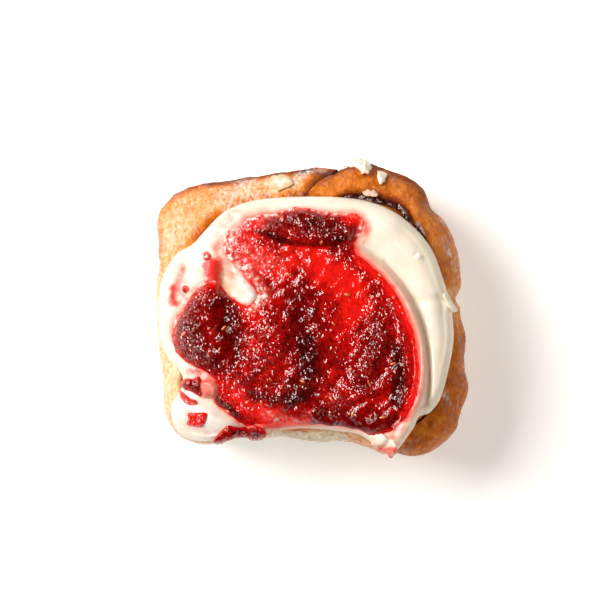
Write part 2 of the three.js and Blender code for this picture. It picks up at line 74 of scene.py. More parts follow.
# Outlines round the Z axis, as (degrees, radius)
ROLL_OUTLINE = (
    (4, 49), (8, 51.1), (14, 51.7), (22, 53.3), (32, 53.6), (40, 53), (48, 55.3), (60, 53.9),
    (71, 52.4), (79, 47.8), (87, 47.4), (99, 47.1), (110, 48), (118, 50.2), (124, 52),
    (132, 56.6), (140, 60.5), (148, 60.8), (157, 56.9), (164, 54.2), (172, 53.2), (184, 52.8),
    (199, 54.6), (208, 57.6), (217, 61.8), (225, 62.5), (233, 58), (237, 54.3), (241, 50.4),
    (247, 49), (252, 46.5), (257, 44.8), (261, 44.7), (270, 45.3), (282, 46.2), (289, 49),
    (296, 54.8), (300, 56.8), (304, 60.8), (311, 63.7), (319, 63.8), (326, 61.2), (332, 59.7),
    (340, 55.2), (348, 53.1), (356, 50.9), (360, 50.2),
)
FROSTING_OUTLINE = (
    (8, 45.1), (16, 44.4), (28, 44.2), (42, 42.9), (58, 40.8), (74, 38.3), (90, 37.1),
    (106, 38.3), (120, 41), (132, 43.3), (145, 44.1), (152, 45.2), (158, 48.4), (168, 50.8),
    (180, 51.2), (191, 51.6), (199, 50.8), (206, 48.8), (211, 50.6), (215, 57.2), (219, 60),
    (223, 61), (228, 59.4), (233, 55.4), (241, 47.8), (248, 44.4), (256, 41.9), (264, 40.3), (274, 40.4),
    (283, 42.2), (290, 44.6), (293, 47.6), (296, 52.8), (299, 55.4), (302, 54.8), (306, 53.4),
    (311, 51.9), (314.5, 50.6), (318, 52.2), (323, 52.4), (328, 51.4), (336, 49.7),
    (347, 48.3), (357, 46.8), (362, 46.7),
)

# By degrees from the loose end: the thickness of the outer turn, and the seams further in as shares
# of the roll's radius
OUTER_TURN = (
    (0, 0), (8, 5.2), (16, 10.2), (26, 12.6), (45, 14.5), (60, 19), (70, 19), (82, 15),
    (100, 13.5), (135, 9.5), (158, 9), (200, 12), (260, 12), (288, 11.4), (302, 11),
    (311, 9.6), (322, 10), (336, 11.8), (348, 13.2), (360, 12.8),
)
INNER_SEAMS = (
    (360, 0.73), (372, 0.68), (395, 0.59), (415, 0.545), (461, 0.54), (495, 0.6), (518, 0.58),
    (533, 0.582), (551, 0.562), (563, 0.568), (576, 0.56), (601, 0.56), (641, 0.55),
    (670, 0.55), (695, 0.53), (720, 0.49), (745, 0.41), (775, 0.34), (820, 0.33), (860, 0.36),
    (910, 0.33), (960, 0.32), (1010, 0.3),
    (1050, 0.27), (1080, 0.24), (1110, 0.17), (1140, 0.1), (1170, 0.05),
)

# Ridges and hollows of the frosting: crest points, reach to each side, rise at start, middle, end
OUTER_BAND = (
    ((-26, 30), (-14, 35), (0, 35.4), (13, 34.2), (24, 28.4), (33, 19.2), (39, 9),
     (42.4, -3), (42, -16), (39.5, -27), (36, -33)),
    8.5, (0.6, 3.4, 2.6),
)
INNER_BAND = (
    ((12, 21.4), (17.8, 16.8), (23.3, 12.3), (28.2, 6.7), (32, 0.4), (34.8, -6.9), (36.1, -14),
     (36.1, -22), (34.8, -29.4), (32.3, -35.5)),
    3, (1.4, 4.2, 2.2),
)
TAIL = (((35, -28), (32.4, -35.4), (29.2, -41.4), (26, -46)), 4.2, (0.4, 3, 3.4))
BAND_FOLD = (
    ((24.1, 15.3), (29.1, 9.4), (33.1, 2.7), (36.4, -5.6), (38.1, -13.9), (38.7, -22.2),
     (38.4, -28.8), (37.1, -34.5), (35.1, -38.8)),
    1.4, (-0.7, -2.0, -2.0),
)
SPOON_HOLLOW = (((2, 8), (14, 0), (16, -14), (6, -26)), 15, (-1.2, -2.6, -1.4))
FRONT_LOBE = (((-42, -33.5), (-35, -38.4), (-25, -41.5)), 9, (2.4, 3, 1))
FRONT_FOLD = (
    ((-47, -27.6), (-41, -28.6), (-34, -30.6), (-27, -35), (-20, -40)), 4.6, (-2.4, -2.8, -1.2),
)
MOUND = (((-23, 9), (-20.5, 4.4)), 4.6, (2.2, 3.4, 3))
DIMPLE = (((-29.4, 13.4), (-28.8, 6.6)), 3.4, (-2, -4.4, -5.8))
KNIFE_PEAK = (((34.4, 17.8), (35.8, 16.6)), 1.4, (-0.6, 1.0, 0.3))
FROSTING_FORMS = (
    OUTER_BAND, INNER_BAND, TAIL, BAND_FOLD, SPOON_HOLLOW, FRONT_LOBE, FRONT_FOLD, MOUND, DIMPLE,
    KNIFE_PEAK,
)

# The jam's outline, strokes that several of its tables share, and its thick streaks and hollows
JAM_OUTLINE = (
    (13.8, 21), (15.8, 24.4), (17, 28.2), (15.6, 30.8), (11.6, 31.4), (4, 31.8), (-4, 33.4), (-12, 31.6),
    (-20.6, 30.4), (-26.6, 27), (-29.4, 22.4), (-28.6, 17.4), (-24.4, 13), (-21.8, 9.6),
    (-18, 4.6), (-20.2, 1.2), (-25, 2.2), (-29.2, 6), (-31.6, 8.8), (-34.6, 9.2), (-38, 7.4), (-41.4, 2),
    (-45.6, -4), (-46.6, -10), (-44.8, -15), (-40.4, -18.8), (-34.4, -21.6), (-31.4, -25.2),
    (-31.6, -28.6), (-32.6, -31), (-29, -34.2), (-24.4, -37.6), (-19.4, -40), (-14, -41.2),
    (-9, -40.9), (-4, -40.4), (4, -40.4), (10, -41.4), (16, -42.4), (21, -42.3), (26.6, -40.3),
    (30.8, -36.2), (33.2, -31.6), (34.9, -26), (35.1, -18), (33.5, -9), (30.8, -1.2), (26.6, 6.4),
    (21, 12.6), (16, 17),
)
JAM_KNOB = ((-20.6, 12), (-19, 9))
JAM_TRACE = ((-33.4, 14), (-33.2, 9.6), (-31, 7.4))
FRONT_STREAK = ((-33, -29.8), (-30, -31.6), (-25.5, -35.4))
SCRAPED_MIDDLE = ((3, 13), (11, 8), (15, 1))
JAM_FORMS = (
    (((-14, 28), (-4, 28.4), (6, 26), (13, 25)), 7.5, (1.2, 2.2, 1.4)),
    (((-26, 27.6), (-16, 26.6), (-7, 23.6), (3, 23), (11, 24.6)), 3.2, (0.7, 1.5, 0.9)),
    (((-36, 3), (-38.4, -8), (-34, -15)), 9.5, (1.8, 3.2, 2.2)),
    (((-17, 1), (-13, -8), (-17, -17), (-24, -23)), 8, (1, 2.6, 1.2)),
    (((17, 8), (22.4, -3), (22.6, -12), (17, -22), (8, -30)), 4.6, (0.8, 2, 1)),
    (((27.4, 2), (31.2, -10), (32.4, -24), (28, -34), (20, -39)), 3, (0.6, 1.6, 0.8)),
    (((10, -30), (18, -28), (26, -24)), 3, (0.6, 1.4, 0.6)),
    (((-4, -3), (-1, -13)), 4.4, (-0.6, -1.2, -0.6)),
    (JAM_KNOB, 2.6, (1.2, 1.6, 0.8)),
)
# Small bits of jam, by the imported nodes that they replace
JAM_BITS = {
    "jam_drip": ((-33, -44.2), (-29.4, -40), (-27.6, -38.8), (-24.8, -39.6), (-21.4, -39.4),
                 (-19.8, -38.8), (-17, -39.8), (-15, -41.8), (-16.2, -43.6), (-18.4, -44.4),
                 (-20.6, -44), (-22.6, -43), (-25.6, -43.3), (-28.6, -44.2), (-30.4, -45.2)),
    "jam_bit_front": ((-41.4, -35), (-40.4, -34.6), (-37.4, -34.6), (-35, -34.8), (-34.7, -35.2),
                      (-35.4, -37.6), (-36.4, -39.2), (-37, -39.6), (-39.4, -39.2), (-41.4, -38.8),
                      (-41.8, -38.4), (-41.2, -36.6)),
    "jam_bit_left": ((-44, -25.6), (-42.2, -23.2), (-39.7, -23.4), (-37.4, -22.6), (-36.5, -26.4),
                     (-37.2, -29.2), (-39.8, -28), (-42.4, -27)),
}

# Soft strokes, as (points, reach to each side, (strength at the start, in the middle, at the end)).
# How dark the jam is above its ground shade, with painted shade in a few valleys and grooves; below it, it
# is spread thinly and bright
JAM_SHADES = (
    (((-11, 28), (-2, 28), (6, 26), (9, 24)), 7, (0.2, 0.36, 0.3)),
    (((10, 30), (14.5, 28.6)), 3.4, (-0.3, -0.4, -0.4)),
    (((-30, 1), (-28, -8), (-28, -16)), 7, (0.45, 0.5, 0.3)),
    (((-40, 0), (-41, -9), (-36, -17)), 8, (0.25, 0.3, 0.3)),
    (((-4, 4), (-3, -10), (-1, -20), (-5, -27)), 8, (0.3, 0.45, 0.3)),
    # Painted shade in the valley in the middle and in the groove beside the right-hand ridge
    (((-2, -11), (-1, -20)), 4, (0.25, 0.35, 0.25)),
    (((27.5, -13), (28.8, -22), (27.6, -31)), 3.6, (0.4, 0.6, 0.5)),
    (((17, 1), (21, -12), (17, -24)), 9, (0.1, 0.25, 0.2)),
    (((3, -35), (14, -38), (24, -37)), 6, (0.25, 0.3, 0.3)),
    (((-20, -29), (-11, -31), (0, -28)), 4, (0.3, 0.4, 0.3)),
    (SCRAPED_MIDDLE, 8.5, (-0.45, -0.65, -0.5)),
    (((-6, 18), (1, 17)), 6, (-0.5, -0.6, -0.4)),
    (((-23, 26), (-20, 18), (-12, 14)), 7.5, (-0.5, -0.5, -0.4)),
    (((15, 16), (24, 8), (30, -2), (33, -14), (33.6, -26), (30, -35)), 2.6, (-0.5, -0.34, -0.14)),
    (((-26, -28), (-21, -33), (-13, -34)), 5, (-0.5, -0.6, -0.4)),
    (((-16, -37), (-8, -38)), 4, (-0.4, -0.5, -0.4)),
    (((12, -1), (10, -8)), 5, (-0.3, -0.35, -0.2)),
    (((-23, 3), (-19, -3)), 4, (-0.4, -0.45, -0.3)),
    # Painted shadow below the steep front of the upper band
    (((-26, 26.4), (-16.7, 25.2), (-7.4, 21.8), (2.6, 21.2), (10.6, 23.2)), 1.5, (0.25, 0.5, 0.3)),
    (((-29, 29.6), (-23, 29), (-18, 28.6)), 3.6, (-0.3, -0.35, -0.2)),
    (JAM_KNOB, 2.2, (-0.4, -0.5, -0.4)),
    # Painted shadow in the valley that the front lobe's fold shades
    (FRONT_STREAK, 1.8, (0.6, 0.8, 0.6)),
    (JAM_TRACE, 3, (-0.4, -0.4, -0.2)),
)
# Where its pulp is coarse and catches the light
JAM_COARSE = (
    (((-41, 3), (-42, -8), (-37, -17)), 8, (0.7, 0.9, 0.8)),
    (((-23, -3), (-18, -12), (-20, -23)), 11, (0.8, 1, 0.8)),
    (((-17, 27), (0, 28), (9, 26)), 8, (0.5, 0.8, 0.7)),
    (((18, 6), (22, -4), (22.5, -12), (17, -23)), 4.5, (0.5, 0.8, 0.8)),
    (((30.4, -9), (31.8, -20), (30.6, -28)), 2.8, (0.7, 0.9, 0.8)),
    (((-22, 22), (-13, 17)), 7, (0.6, 0.6, 0.5)),
    (((4, -32), (13, -28), (20, -26)), 5, (0.4, 0.6, 0.5)),
    (((-28, -30), (-20, -37)), 4, (0.6, 0.6, 0.5)),
    (((6, 18), (12, 15)), 4, (0.4, 0.5, 0.4)),
    (JAM_KNOB, 2.4, (-1, -1, -1)),
    (((-31, 0), (-28, -8), (-27.6, -16)), 4.6, (-0.6, -0.8, -0.5)),
    (((12, 30.6), (16, 28), (14, 23)), 3, (-0.6, -0.8, -0.6)),
    (((17, 17), (26, 7.6), (32, -1), (35, -12), (35.6, -25), (32, -35)), 2.4, (-0.8, -1, -1)),
    (SCRAPED_MIDDLE, 7, (-0.3, -0.35, -0.3)),
    (JAM_TRACE, 3, (-0.8, -0.6, -0.4)),
    (((-3, -6), (-1, -16), (-2, -24)), 5, (0.3, 0.4, 0.3)),
    (((4, -38), (14, -40), (24, -38)), 3.4, (-0.4, -0.5, -0.4)),
    (FRONT_STREAK, 2.2, (0.8, 0.8, 0.8)),
    (((-30, -22), (-20, -25), (-9, -28)), 7, (0.5, 0.6, 0.5)),
)
# Where the jam thins out softly into the frosting
SOFT_EDGES = (
    (((-26, 13), (-29.4, 20), (-25.4, 27.4), (-14, 32)), 5, (0.9, 1, 0.7)),
    (((-30.6, 9), (-34, 10), (-38, 8)), 2.4, (0.5, 0.6, 0.6)),
    (((-28.6, 17.4), (-24.4, 13), (-22.4, 11)), 3.4, (1, 1, 0)),
    (((-14, 32), (-4, 34), (6, 32), (13, 32), (17.4, 29), (15.6, 24)), 2.6, (0.7, 0.8, 1)),
    (((-36, 10), (-41, 5), (-45.8, -3), (-47, -10)), 2.6, (0.9, 0.8, 0.7)),
    (((-19, -40.4), (-14, -41.6), (-7, -41)), 2.6, (0.6, 0.9, 0.3)),
)
# Where its edge slopes down gently
GENTLE_EDGES = (
    (((17, 28), (15.8, 20), (21, 12.8), (26.8, 6.4), (31, -1.2), (33.8, -9), (35.4, -18),
      (35.2, -26), (33.2, -31.8), (29, -37)), 4, (1, 1, 1)),
    (((-31.4, 15), (-33.6, 15), (-35, 11)), 3, (1, 1, 1)),
)
# Where it is smeared with frosting
JAM_SMEARS = (
    (((-25, 23), (-21, 17), (-13, 15)), 6, (0.45, 0.5, 0.3)),
    (((-26, 28), (-29.6, 23), (-28, 16), (-22, 12)), 4.4, (0.7, 1.1, 0.9)),
    (((-18, 9), (-16.6, 4), (-20, 0)), 2.6, (0.3, 0.7, 0.5)),
    (((-15, -35), (-9, -38.4), (-2, -38)), 3.6, (0.7, 0.8, 0.4)),
    (((-19, 9), (-16, 4), (-21, 1)), 3.2, (0.7, 0.7, 0.6)),
    (((-40, 8), (-44, 2)), 4, (0.5, 0.6, 0.4)),
)
# Painted shade on the frosting: a tan tint in the dent and along the fold
PAINTED_SHADE_SPOTS = (
    (((-29.4, 12.8), (-28.6, 8.4)), 2.8, (0.3, 0.4, 0.5)),
    (((-28.8, 8), (-28, 6)), 1.8, (0.8, 1.2, 1)),
    (BAND_FOLD[0], 1.1, (0.3, 0.6, 0.5)),
)
# Painted light: where the frosting is coloured whitest, to look brightly lit
PAINTED_LIGHT_SPOTS = (
    (((-24, 10.5), (-21, 6.4), (-22, 2.6)), 4.6, (0.6, 0.9, 0.8)),
    (((-42, -33.5), (-33, -39.4)), 9, (1, 1, 0.8)),
    (((26, -41), (22, -44)), 3, (0.5, 0.8, 0.6)),
)
# Where the frosting stays white right up to the jam
CLEAN_EDGES = (
    (((-8, -42.6), (4, -42), (14, -43.4), (21, -43.6)), 5, (1, 1.3, 1)),
    (((-14, 35), (-4, 36), (8, 34.4)), 3.4, (0.9, 1.1, 0.9)),
)
# Pink stains on the frosting
STAINS = (
    (((-42, 8.4), (-45, 6), (-46.4, 3)), 3.4, (0.4, 0.7, 0.5)),
    (((-40, 5), (-43.6, 1.5)), 3.4, (0.7, 0.9, 0.8)),
    (((-32.4, 19), (-35.4, 12.6), (-36, 7)), 5, (0.1, 0.4, 0.6)),
    (((-35.2, 14.4), (-33.4, 14.8), (-31.6, 13.4)), 2.6, (1, 1.5, 1.3)),
    (((-33.2, 13), (-32.6, 10.6), (-32.2, 7)), 3.4, (1.6, 2.2, 2.2)),
    (((-42.6, 13.4), (-44.8, 9.6)), 2.4, (0.6, 0.8, 0.5)),
    (((-46.8, 7), (-47, 2)), 2.2, (0.5, 0.8, 0.6)),
    (((-36, 17.6), (-35, 18.4), (-34, 17.4), (-34.8, 16.2), (-36, 16.8)), 1, (1.3, 1.3, 1.3)),
    (((-23.4, 14), (-20.6, 10.6)), 2.6, (0.4, 0.4, 0.3)),
    (((-40.6, -20.2), (-36, -21.4)), 2.2, (0.5, 0.8, 0.6)),
    (((14, 31), (17.4, 27.4), (17.2, 22.6)), 3.2, (0.5, 0.7, 0.5)),
    (((31, -41), (26, -45), (24, -48)), 3.4, (0.2, 0.4, 0.8)),
    (((34, -30), (32, -35), (29, -38.6), (25.6, -42)), 2.6, (0.4, 0.5, 0.5)),
    (((-37, -28.8), (-31, -31.4), (-25, -37), (-19, -41)), 2.2, (0.2, 0.5, 0.9)),
    (((-39, -22.6), (-34, -24), (-33, -27)), 4.2, (0.5, 0.6, 0.5)),
    (((-41.5, -34), (-41, -39), (-36, -41)), 3, (0.25, 0.3, 0.25)),
    (((-12, -41), (-17, -41.6)), 2.4, (0.6, 0.8, 0.6)),
    (((-26, 31), (-31.4, 24), (-30, 16), (-24, 9)), 3.6, (0.4, 0.55, 0.4)),
    (((-23, 8), (-20, 4)), 3, (0.15, 0.1, 0.15)),
)
# Thin whitish glazing on the crust, and painted highlights: whitish colour where the wet crust glints
GLAZE_AND_GLINTS = (
    (((44.4, 23.4), (46.4, 18), (48.4, 13)), 2, (0.35, 0.5, 0.6)),
    (((34.8, 27.8), (36.8, 25)), 1.6, (0.7, 0.6, 0.4)),
    (((-25, 41), (-20, 42)), 3, (0.5, 0.7, 0.5)),
    (((-30, 38), (-27, 32), (-22, 33)), 3.6, (0.4, 0.6, 0.5)),
    (((-48, 22), (-44, 30)), 4, (0.3, 0.4, 0.3)),
    (((-15, 42), (-7, 42), (-4, 44.6), (-1.6, 46.4)), 2.4, (0.6, 0.9, 0.7)),
    (((-1.6, 46), (4, 46.2)), 1.2, (0.8, 0.6, 0.5)),
    (((28, -47), (33, -48.5)), 2.2, (0.4, 0.35, 0.2)),
    (((-27, 38), (-20, 37), (-14, 38.6)), 4, (0.4, 0.5, 0.4)),
    (((46, -32), (43, -26)), 1.5, (0.5, 0.6, 0.3)),
)
# Painted shadow: crust coloured darker beside the seam at the loose end, where the lobe shades it
SEAM_SHADOW = (
    (((-1.6, 40), (1.6, 43), (5.6, 45.4)), 3.2, (0.2, 0.3, 0.24)),
)
# Torn crumb on the front edge
CRUMB = (
    (((-12, -43.6), (-4, -44), (5, -44), (10, -44.6)), 4, (1.2, 1.6, 1.2)),
)
# Berry juice soaked into the crust
JUICE = (
    (((51, -9), (52, -16), (52, -22)), 3.2, (0.7, 0.9, 0.7)),
    (((23, 38), (30, 34), (38, 26)), 3.4, (0.5, 0.7, 0.6)),
    (((39, -38), (41, -41)), 1.4, (0.6, 0.7, 0.6)),
    (((32, -42), (34, -43)), 1, (0.5, 0.6, 0.5)),
)


# Plain arithmetic on arrays of places

def course(t, start, leave, end, arrive):
    """Smoothly from start to end, as t goes from 0 to 1, with a slope at each."""
    return (
        start * (2 * t**3 - 3 * t**2 + 1) + leave * (t**3 - 2 * t**2 + t)
        + end * (3 * t**2 - 2 * t**3) + arrive * (t**3 - t**2)
    )


def along(table, keys, period=None):
    """Smooth values at keys of a table of (key, value) points. A period closes it into a loop."""
    xs, ys = np.array(sorted(table), float).T
    if period:
        xs = np.concatenate([xs[-2:] - period, xs, xs[:3] + period])
        ys = np.concatenate([ys[-2:], ys, ys[:3]])
        keys = xs[2] + np.mod(np.asarray(keys, float) - xs[2], period)
    else:
        xs = np.concatenate([xs[:1], xs, xs[-1:]])
        ys = np.concatenate([ys[:1], ys, ys[-1:]])
        keys = np.clip(keys, xs[0], xs[-1])
    i = np.clip(np.searchsorted(xs, keys, side="right") - 1, 1, len(xs) - 3)
    span = xs[i + 1] - xs[i]
    t = (keys - xs[i]) / span
    leave = (ys[i + 1] - ys[i - 1]) / (xs[i + 1] - xs[i - 1]) * span
    arrive = (ys[i + 2] - ys[i]) / (xs[i + 2] - xs[i]) * span
    return course(t, ys[i], leave, ys[i + 1], arrive)


def smooth(values, low, high):
    """0 below low, 1 above high, and a soft rise between them."""
    t = np.clip((np.asarray(values, float) - low) / (high - low), 0, 1)
    return t * t * (3 - 2 * t)


def smooth_line(points, closed=False, steps=5):
    """A polyline through the points with its corners rounded."""
    p = np.array(points, float)
    if closed:
        p = np.vstack([p[-1:], p, p[:2]])
    else:
        p = np.vstack([2 * p[:1] - p[1:2], p, 2 * p[-1:] - p[-2:-1]])
    line = []
    for before, start, end, after in zip(p[:-3], p[1:-2], p[2:-1], p[3:]):
        for t in np.linspace(0, 1, steps, endpoint=False):
            line.append(course(t, start, (end - before) / 2, end, (after - start) / 2))
    line.append(p[-2])
    return np.array(line)


def nearest(line, x, y):
    """Distance to a polyline, how far along it the nearest place is, and that place."""
    best = np.full(x.shape, np.inf)
    share = np.zeros(x.shape)
    at_x, at_y = np.zeros(x.shape), np.zeros(x.shape)
    for i, (a, b) in enumerate(zip(line[:-1], line[1:])):
        dx, dy = b - a
        t = np.clip(((x - a[0]) * dx + (y - a[1]) * dy) / max(dx * dx + dy * dy, 1e-12), 0, 1)
        px, py = a[0] + t * dx, a[1] + t * dy
        distance = np.hypot(x - px, y - py)
        nearer = distance < best
        best = np.where(nearer, distance, best)
        share = np.where(nearer, (i + t) / (len(line) - 1), share)
        at_x, at_y = np.where(nearer, px, at_x), np.where(nearer, py, at_y)
    return best, share, at_x, at_y


def inside_of(line, x, y):
    """How far inside a closed polyline each place lies, negative outside, and the nearest edge."""
    inside = np.zeros(x.shape, bool)
    for a, b in zip(line[:-1], line[1:]):
        if a[1] == b[1]:
            continue
        crosses = ((a[1] > y) != (b[1] > y)) & (x < (b[0] - a[0]) * (y - a[1]) / (b[1] - a[1]) + a[0])
        inside ^= crosses
    distance, _, at_x, at_y = nearest(line, x, y)
    return np.where(inside, distance, -distance), at_x, at_y


def rise_of(forms, x, y):
    """Sum of soft ridges and hollows."""
    total = np.zeros(x.shape)
    for points, reach, (start, middle, end) in forms:
        distance, share, _, _ = nearest(smooth_line(points, steps=4), x, y)
        rise = np.interp(share, (0, 0.5, 1), (start, middle, end))
        total += rise * np.clip(1 - (distance / reach) ** 2, 0, None) ** 2
    return total


def between(values, low, rise, fall, high):
    """1 from rise to fall, with a soft slope down to 0 at low and at high."""
    return smooth(values, low, rise) * (1 - smooth(values, fall, high))


def cells_of(x, y, z, size, shift):
    """Places measured in cells of a size, and moved aside along x."""
    places = np.stack([x / size, y / size, z / size], -1).reshape(-1, 3).tolist()
    return [Vector((a + shift, b, c)) for a, b, c in places]


def grain(x, y, z, size, octaves=1, seed=0):
    """Soft random bumps between about -1 and 1, as wide as size."""
    places = cells_of(x, y, z, size, 37.0 * seed)
    if octaves == 1:
        values = [noise.noise(at) for at in places]
    else:
        values = [noise.fractal(at, 1.0, 2.0, octaves) for at in places]
    return np.array(values).reshape(x.shape)


def pebbles(x, y, z, size, seed=0):
    """Rounded grains packed side by side: 1 at the middle of each, 0 between them."""
    distances = [noise.voronoi(at)[0][0] for at in cells_of(x, y, z, size, 53.0 * seed)]
    return np.clip(1 - np.array(distances).reshape(x.shape) ** 2 * 1.6, 0, 1)


# The shapes of the roll

def roll_radius(degrees):
    return along(ROLL_OUTLINE, degrees, 360)


def frosting_radius(degrees):
    return along(FROSTING_OUTLINE, degrees, 360)


def degrees_of(x, y):
    return np.degrees(np.arctan2(y, x))


def turned_at(x, y):
    """Degrees from the loose end, within one turn."""
    return np.mod(degrees_of(x, y) - LOOSE_END, 360)


def place(degrees, radius):
    return radius * np.cos(np.radians(degrees)), radius * np.sin(np.radians(degrees))


def dough_top(share, x, y):
    arch = np.clip(1 - np.clip(share, 0, 1) ** SHOULDER_POWER, 0, None) ** (1 / SHOULDER_POWER)
    waves = np.sin(x / 6.5 + 1) * np.sin(y / 5.5) + 0.6 * np.sin((x + y) / 4.2)
    return WAIST + (CROWN - WAIST) * arch + UNEVENNESS * waves * arch


def top_at(x, y):
    return dough_top(np.hypot(x, y) / roll_radius(degrees_of(x, y)), x, y)


def in_the_middle(height):
    """A height for x, y, on the Z axis."""
    return float(height(np.zeros(1), np.zeros(1))[0])


def seam_radius(turned):
    radius = roll_radius(LOOSE_END + turned)
    outer = radius - along(OUTER_TURN, np.clip(turned, 0, 360))
    inner = np.maximum(CORE_RADIUS, radius * along(INNER_SEAMS, np.clip(turned, 360, 1170)))
    return np.where(turned <= 360, outer, inner)


def seam_open(turned):
    """1 where the seam gapes, and little at the loose end and where the turns lie close together."""
    closed = 0.75 * between(turned, 190, 215, 308, 320)
    return (1 - closed) * np.clip(turned / 40, 0.06, 1)


def seam_half_gap(turned):
    return (FILLING / 2 + CLEARANCE) * smooth(turned, 18, 34) * seam_open(turned)


def groove(distance):
    return SEAM_DEPTH * np.clip(1 - distance / SEAM_REACH, 0, None) ** 2


def seam_distance(x, y):
    """Distance from the nearest seam of the coil, outwards or inwards."""
    radius = np.hypot(x, y)
    best = np.full(x.shape, np.inf)
    for turned in (turned_at(x, y) + 360 * turn for turn in range(4)):
        gap = np.abs(radius - seam_radius(turned)) - seam_half_gap(turned)
        best = np.minimum(best, np.maximum(gap, 0))
    return best


def crust_at(x, y):
    """Height of the dough's top with its grooves."""
    return top_at(x, y) - groove(seam_distance(x, y)) * seam_open(turned_at(x, y))


def frosting_top(x, y):
    inside = frosting_radius(degrees_of(x, y)) - np.hypot(x, y)
    rounding = np.sqrt(np.clip(1 - np.clip(1 - inside / LIP_REACH, 0, None) ** 2, 0, None))
    lip = 1 - LIP_FALL * (1 - rounding)
    thickness = np.maximum(THINNEST, FROSTING_BED + rise_of(FROSTING_FORMS, x, y))
    return top_at(x, y) + CLEARANCE + thickness * np.where(inside > 0, lip, 0)


# Meshes

def put_in_scene(name, data):
    """A new object in the scene."""
    made = bpy.data.objects.new(name, data)
    bpy.context.scene.collection.objects.link(made)
    return made


def make_object(name, corners, faces, material, marks=None):
    """A smooth-shaded object from corners in millimetres, with a named number at each corner."""
    mesh = bpy.data.meshes.new(name)
    mesh.from_pydata((np.asarray(corners, float) * MM).tolist(), [], faces)
    for key, values in (marks or {}).items():
        attribute = mesh.attributes.new(key, "FLOAT", "POINT")
        attribute.data.foreach_set("value", np.asarray(values, np.float32).ravel())
    mesh.validate()
    mesh.materials.append(material)
    mesh.shade_smooth()
    return put_in_scene(name, mesh)


def finish_piece(piece, slot, *nodes):
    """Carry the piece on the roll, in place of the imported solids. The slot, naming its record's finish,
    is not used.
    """
    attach(piece, "root")
    if nodes:
        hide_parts(*nodes)


def grid_faces(rows, columns, closed):
    """Quads over a grid of corners whose columns may close into a ring."""
    i = np.arange(rows - 1)[:, None] * columns
    j = np.arange(columns if closed else columns - 1)[None, :]
    k = (j + 1) % columns
    return np.stack([i + j, i + k, i + columns + k, i + columns + j], -1).reshape(-1, 4).tolist()


def stacked_rings(name, rings, first, last, material, marks):
    """A closed skin over rings of corners, drawn together to a point at each end."""
    rows, columns, _ = rings.shape
    corners = np.vstack([rings.reshape(-1, 3), [first], [last]])
    faces = grid_faces(rows, columns, True)
    top, bottom, end = rows * columns, rows * columns + 1, (rows - 1) * columns
    for j in range(columns):
        k = (j + 1) % columns
        faces.append([top, k, j])
        faces.append([bottom, end + j, end + k])
    ends = {key: np.append(values.ravel(), [values[0].mean(), 0]) for key, values in marks.items()}
    return outward(make_object(name, corners, faces, material, ends))


def swept_sections(name, sections, material, marks):
    """A closed skin over sections along a path, with a flat end at each."""
    rows, columns, _ = sections.shape
    faces = grid_faces(rows, columns, True)
    faces.append(list(range(columns))[::-1])
    faces.append(list(range((rows - 1) * columns, rows * columns)))
    return outward(make_object(name, sections.reshape(-1, 3), faces, material, marks))


def outward(piece):
    """Turn all faces of a closed piece to the outside."""
    shape = bmesh.new()
    shape.from_mesh(piece.data)
    if shape.calc_volume(signed=True) < 0:
        bmesh.ops.reverse_faces(shape, faces=shape.faces)
    shape.to_mesh(piece.data)
    shape.free()
    return piece


def ragged(line, depth, size):
    """A closed line with its course made uneven."""
    x, y = line[:-1].T
    out_x, out_y = grain(x, y, 0 * x, size, 2, seed=31), grain(x, y, 0 * x, size, 2, seed=32)
    moved = np.stack([x + depth * out_x, y + depth * out_y], -1)
    return np.vstack([moved, moved[:1]])


def patch(name, line, cell, top, bottom, material, marks=None):
    """A closed piece that lies on a surface: square cells whose border is drawn in to a closed line.
    top and marks give heights and numbers for x, y and the distance inside the line, and bottom
    gives heights for x and y."""
    EDGE_SHARE = 0.35
    THINNEST_EDGE = 0.02
    low, high = line.min(0) - 1.5 * cell, line.max(0) + 1.5 * cell
    xs, ys = np.arange(low[0], high[0], cell), np.arange(low[1], high[1], cell)
    x, y = (a.ravel() for a in np.meshgrid(xs, ys))
    depth, edge_x, edge_y = inside_of(line, x, y)
    within = depth > cell * EDGE_SHARE
    x, y = np.where(within, x, edge_x), np.where(within, y, edge_y)
    depth = np.where(within, depth, 0)
    columns = len(xs)
    quads = np.array(grid_faces(len(ys), columns, False))
    quads = quads[within[quads].any(1)]
    kept = np.unique(quads)
    number = np.full(len(x), -1)
    number[kept] = np.arange(len(kept))
    quads = number[quads]
    x, y, depth = x[kept], y[kept], depth[kept]
    upper = np.stack([x, y, top(x, y, depth)], -1)
    lower = np.stack([x, y, np.minimum(bottom(x, y), upper[:, 2] - THINNEST_EDGE)], -1)
    count = len(kept)
    faces = quads.tolist() + (quads[:, ::-1] + count).tolist()
    edges = {}
    for quad in quads.tolist():
        for a, b in zip(quad, quad[1:] + quad[:1]):
            edges[(a, b)] = (b, a) not in edges
            if (b, a) in edges:
                edges[(b, a)] = False
    for (a, b), border in edges.items():
        if border:
            faces.append([b, a, a + count, b + count])
    values = {}
    for key, rule in (marks or {}).items():
        found = rule(x, y, depth)
        values[key] = np.concatenate([found, found])
    return outward(make_object(name, np.vstack([upper, lower]), faces, material, values))


# Materials

def feed(tree, socket, value):
    """Set an input to a value, or join another node's output to it."""
    if isinstance(value, bpy.types.NodeSocket):
        tree.links.new(value, socket)
    else:
        socket.default_value = value


def add(tree, kind, inputs=None, **settings):
    """A node with its settings and inputs."""
    made = tree.nodes.new(kind)
    for key, value in settings.items():
        setattr(made, key, value)
    for key, value in (inputs or {}).items():
        feed(tree, made.inputs[key], value)
    return made


def dress(tree, shader, **inputs):
    """Feed the shader's inputs, which are named here in small letters."""
    for key, value in inputs.items():
        feed(tree, shader.inputs[key.replace("_", " ").title().replace("Ior", "IOR")], value)


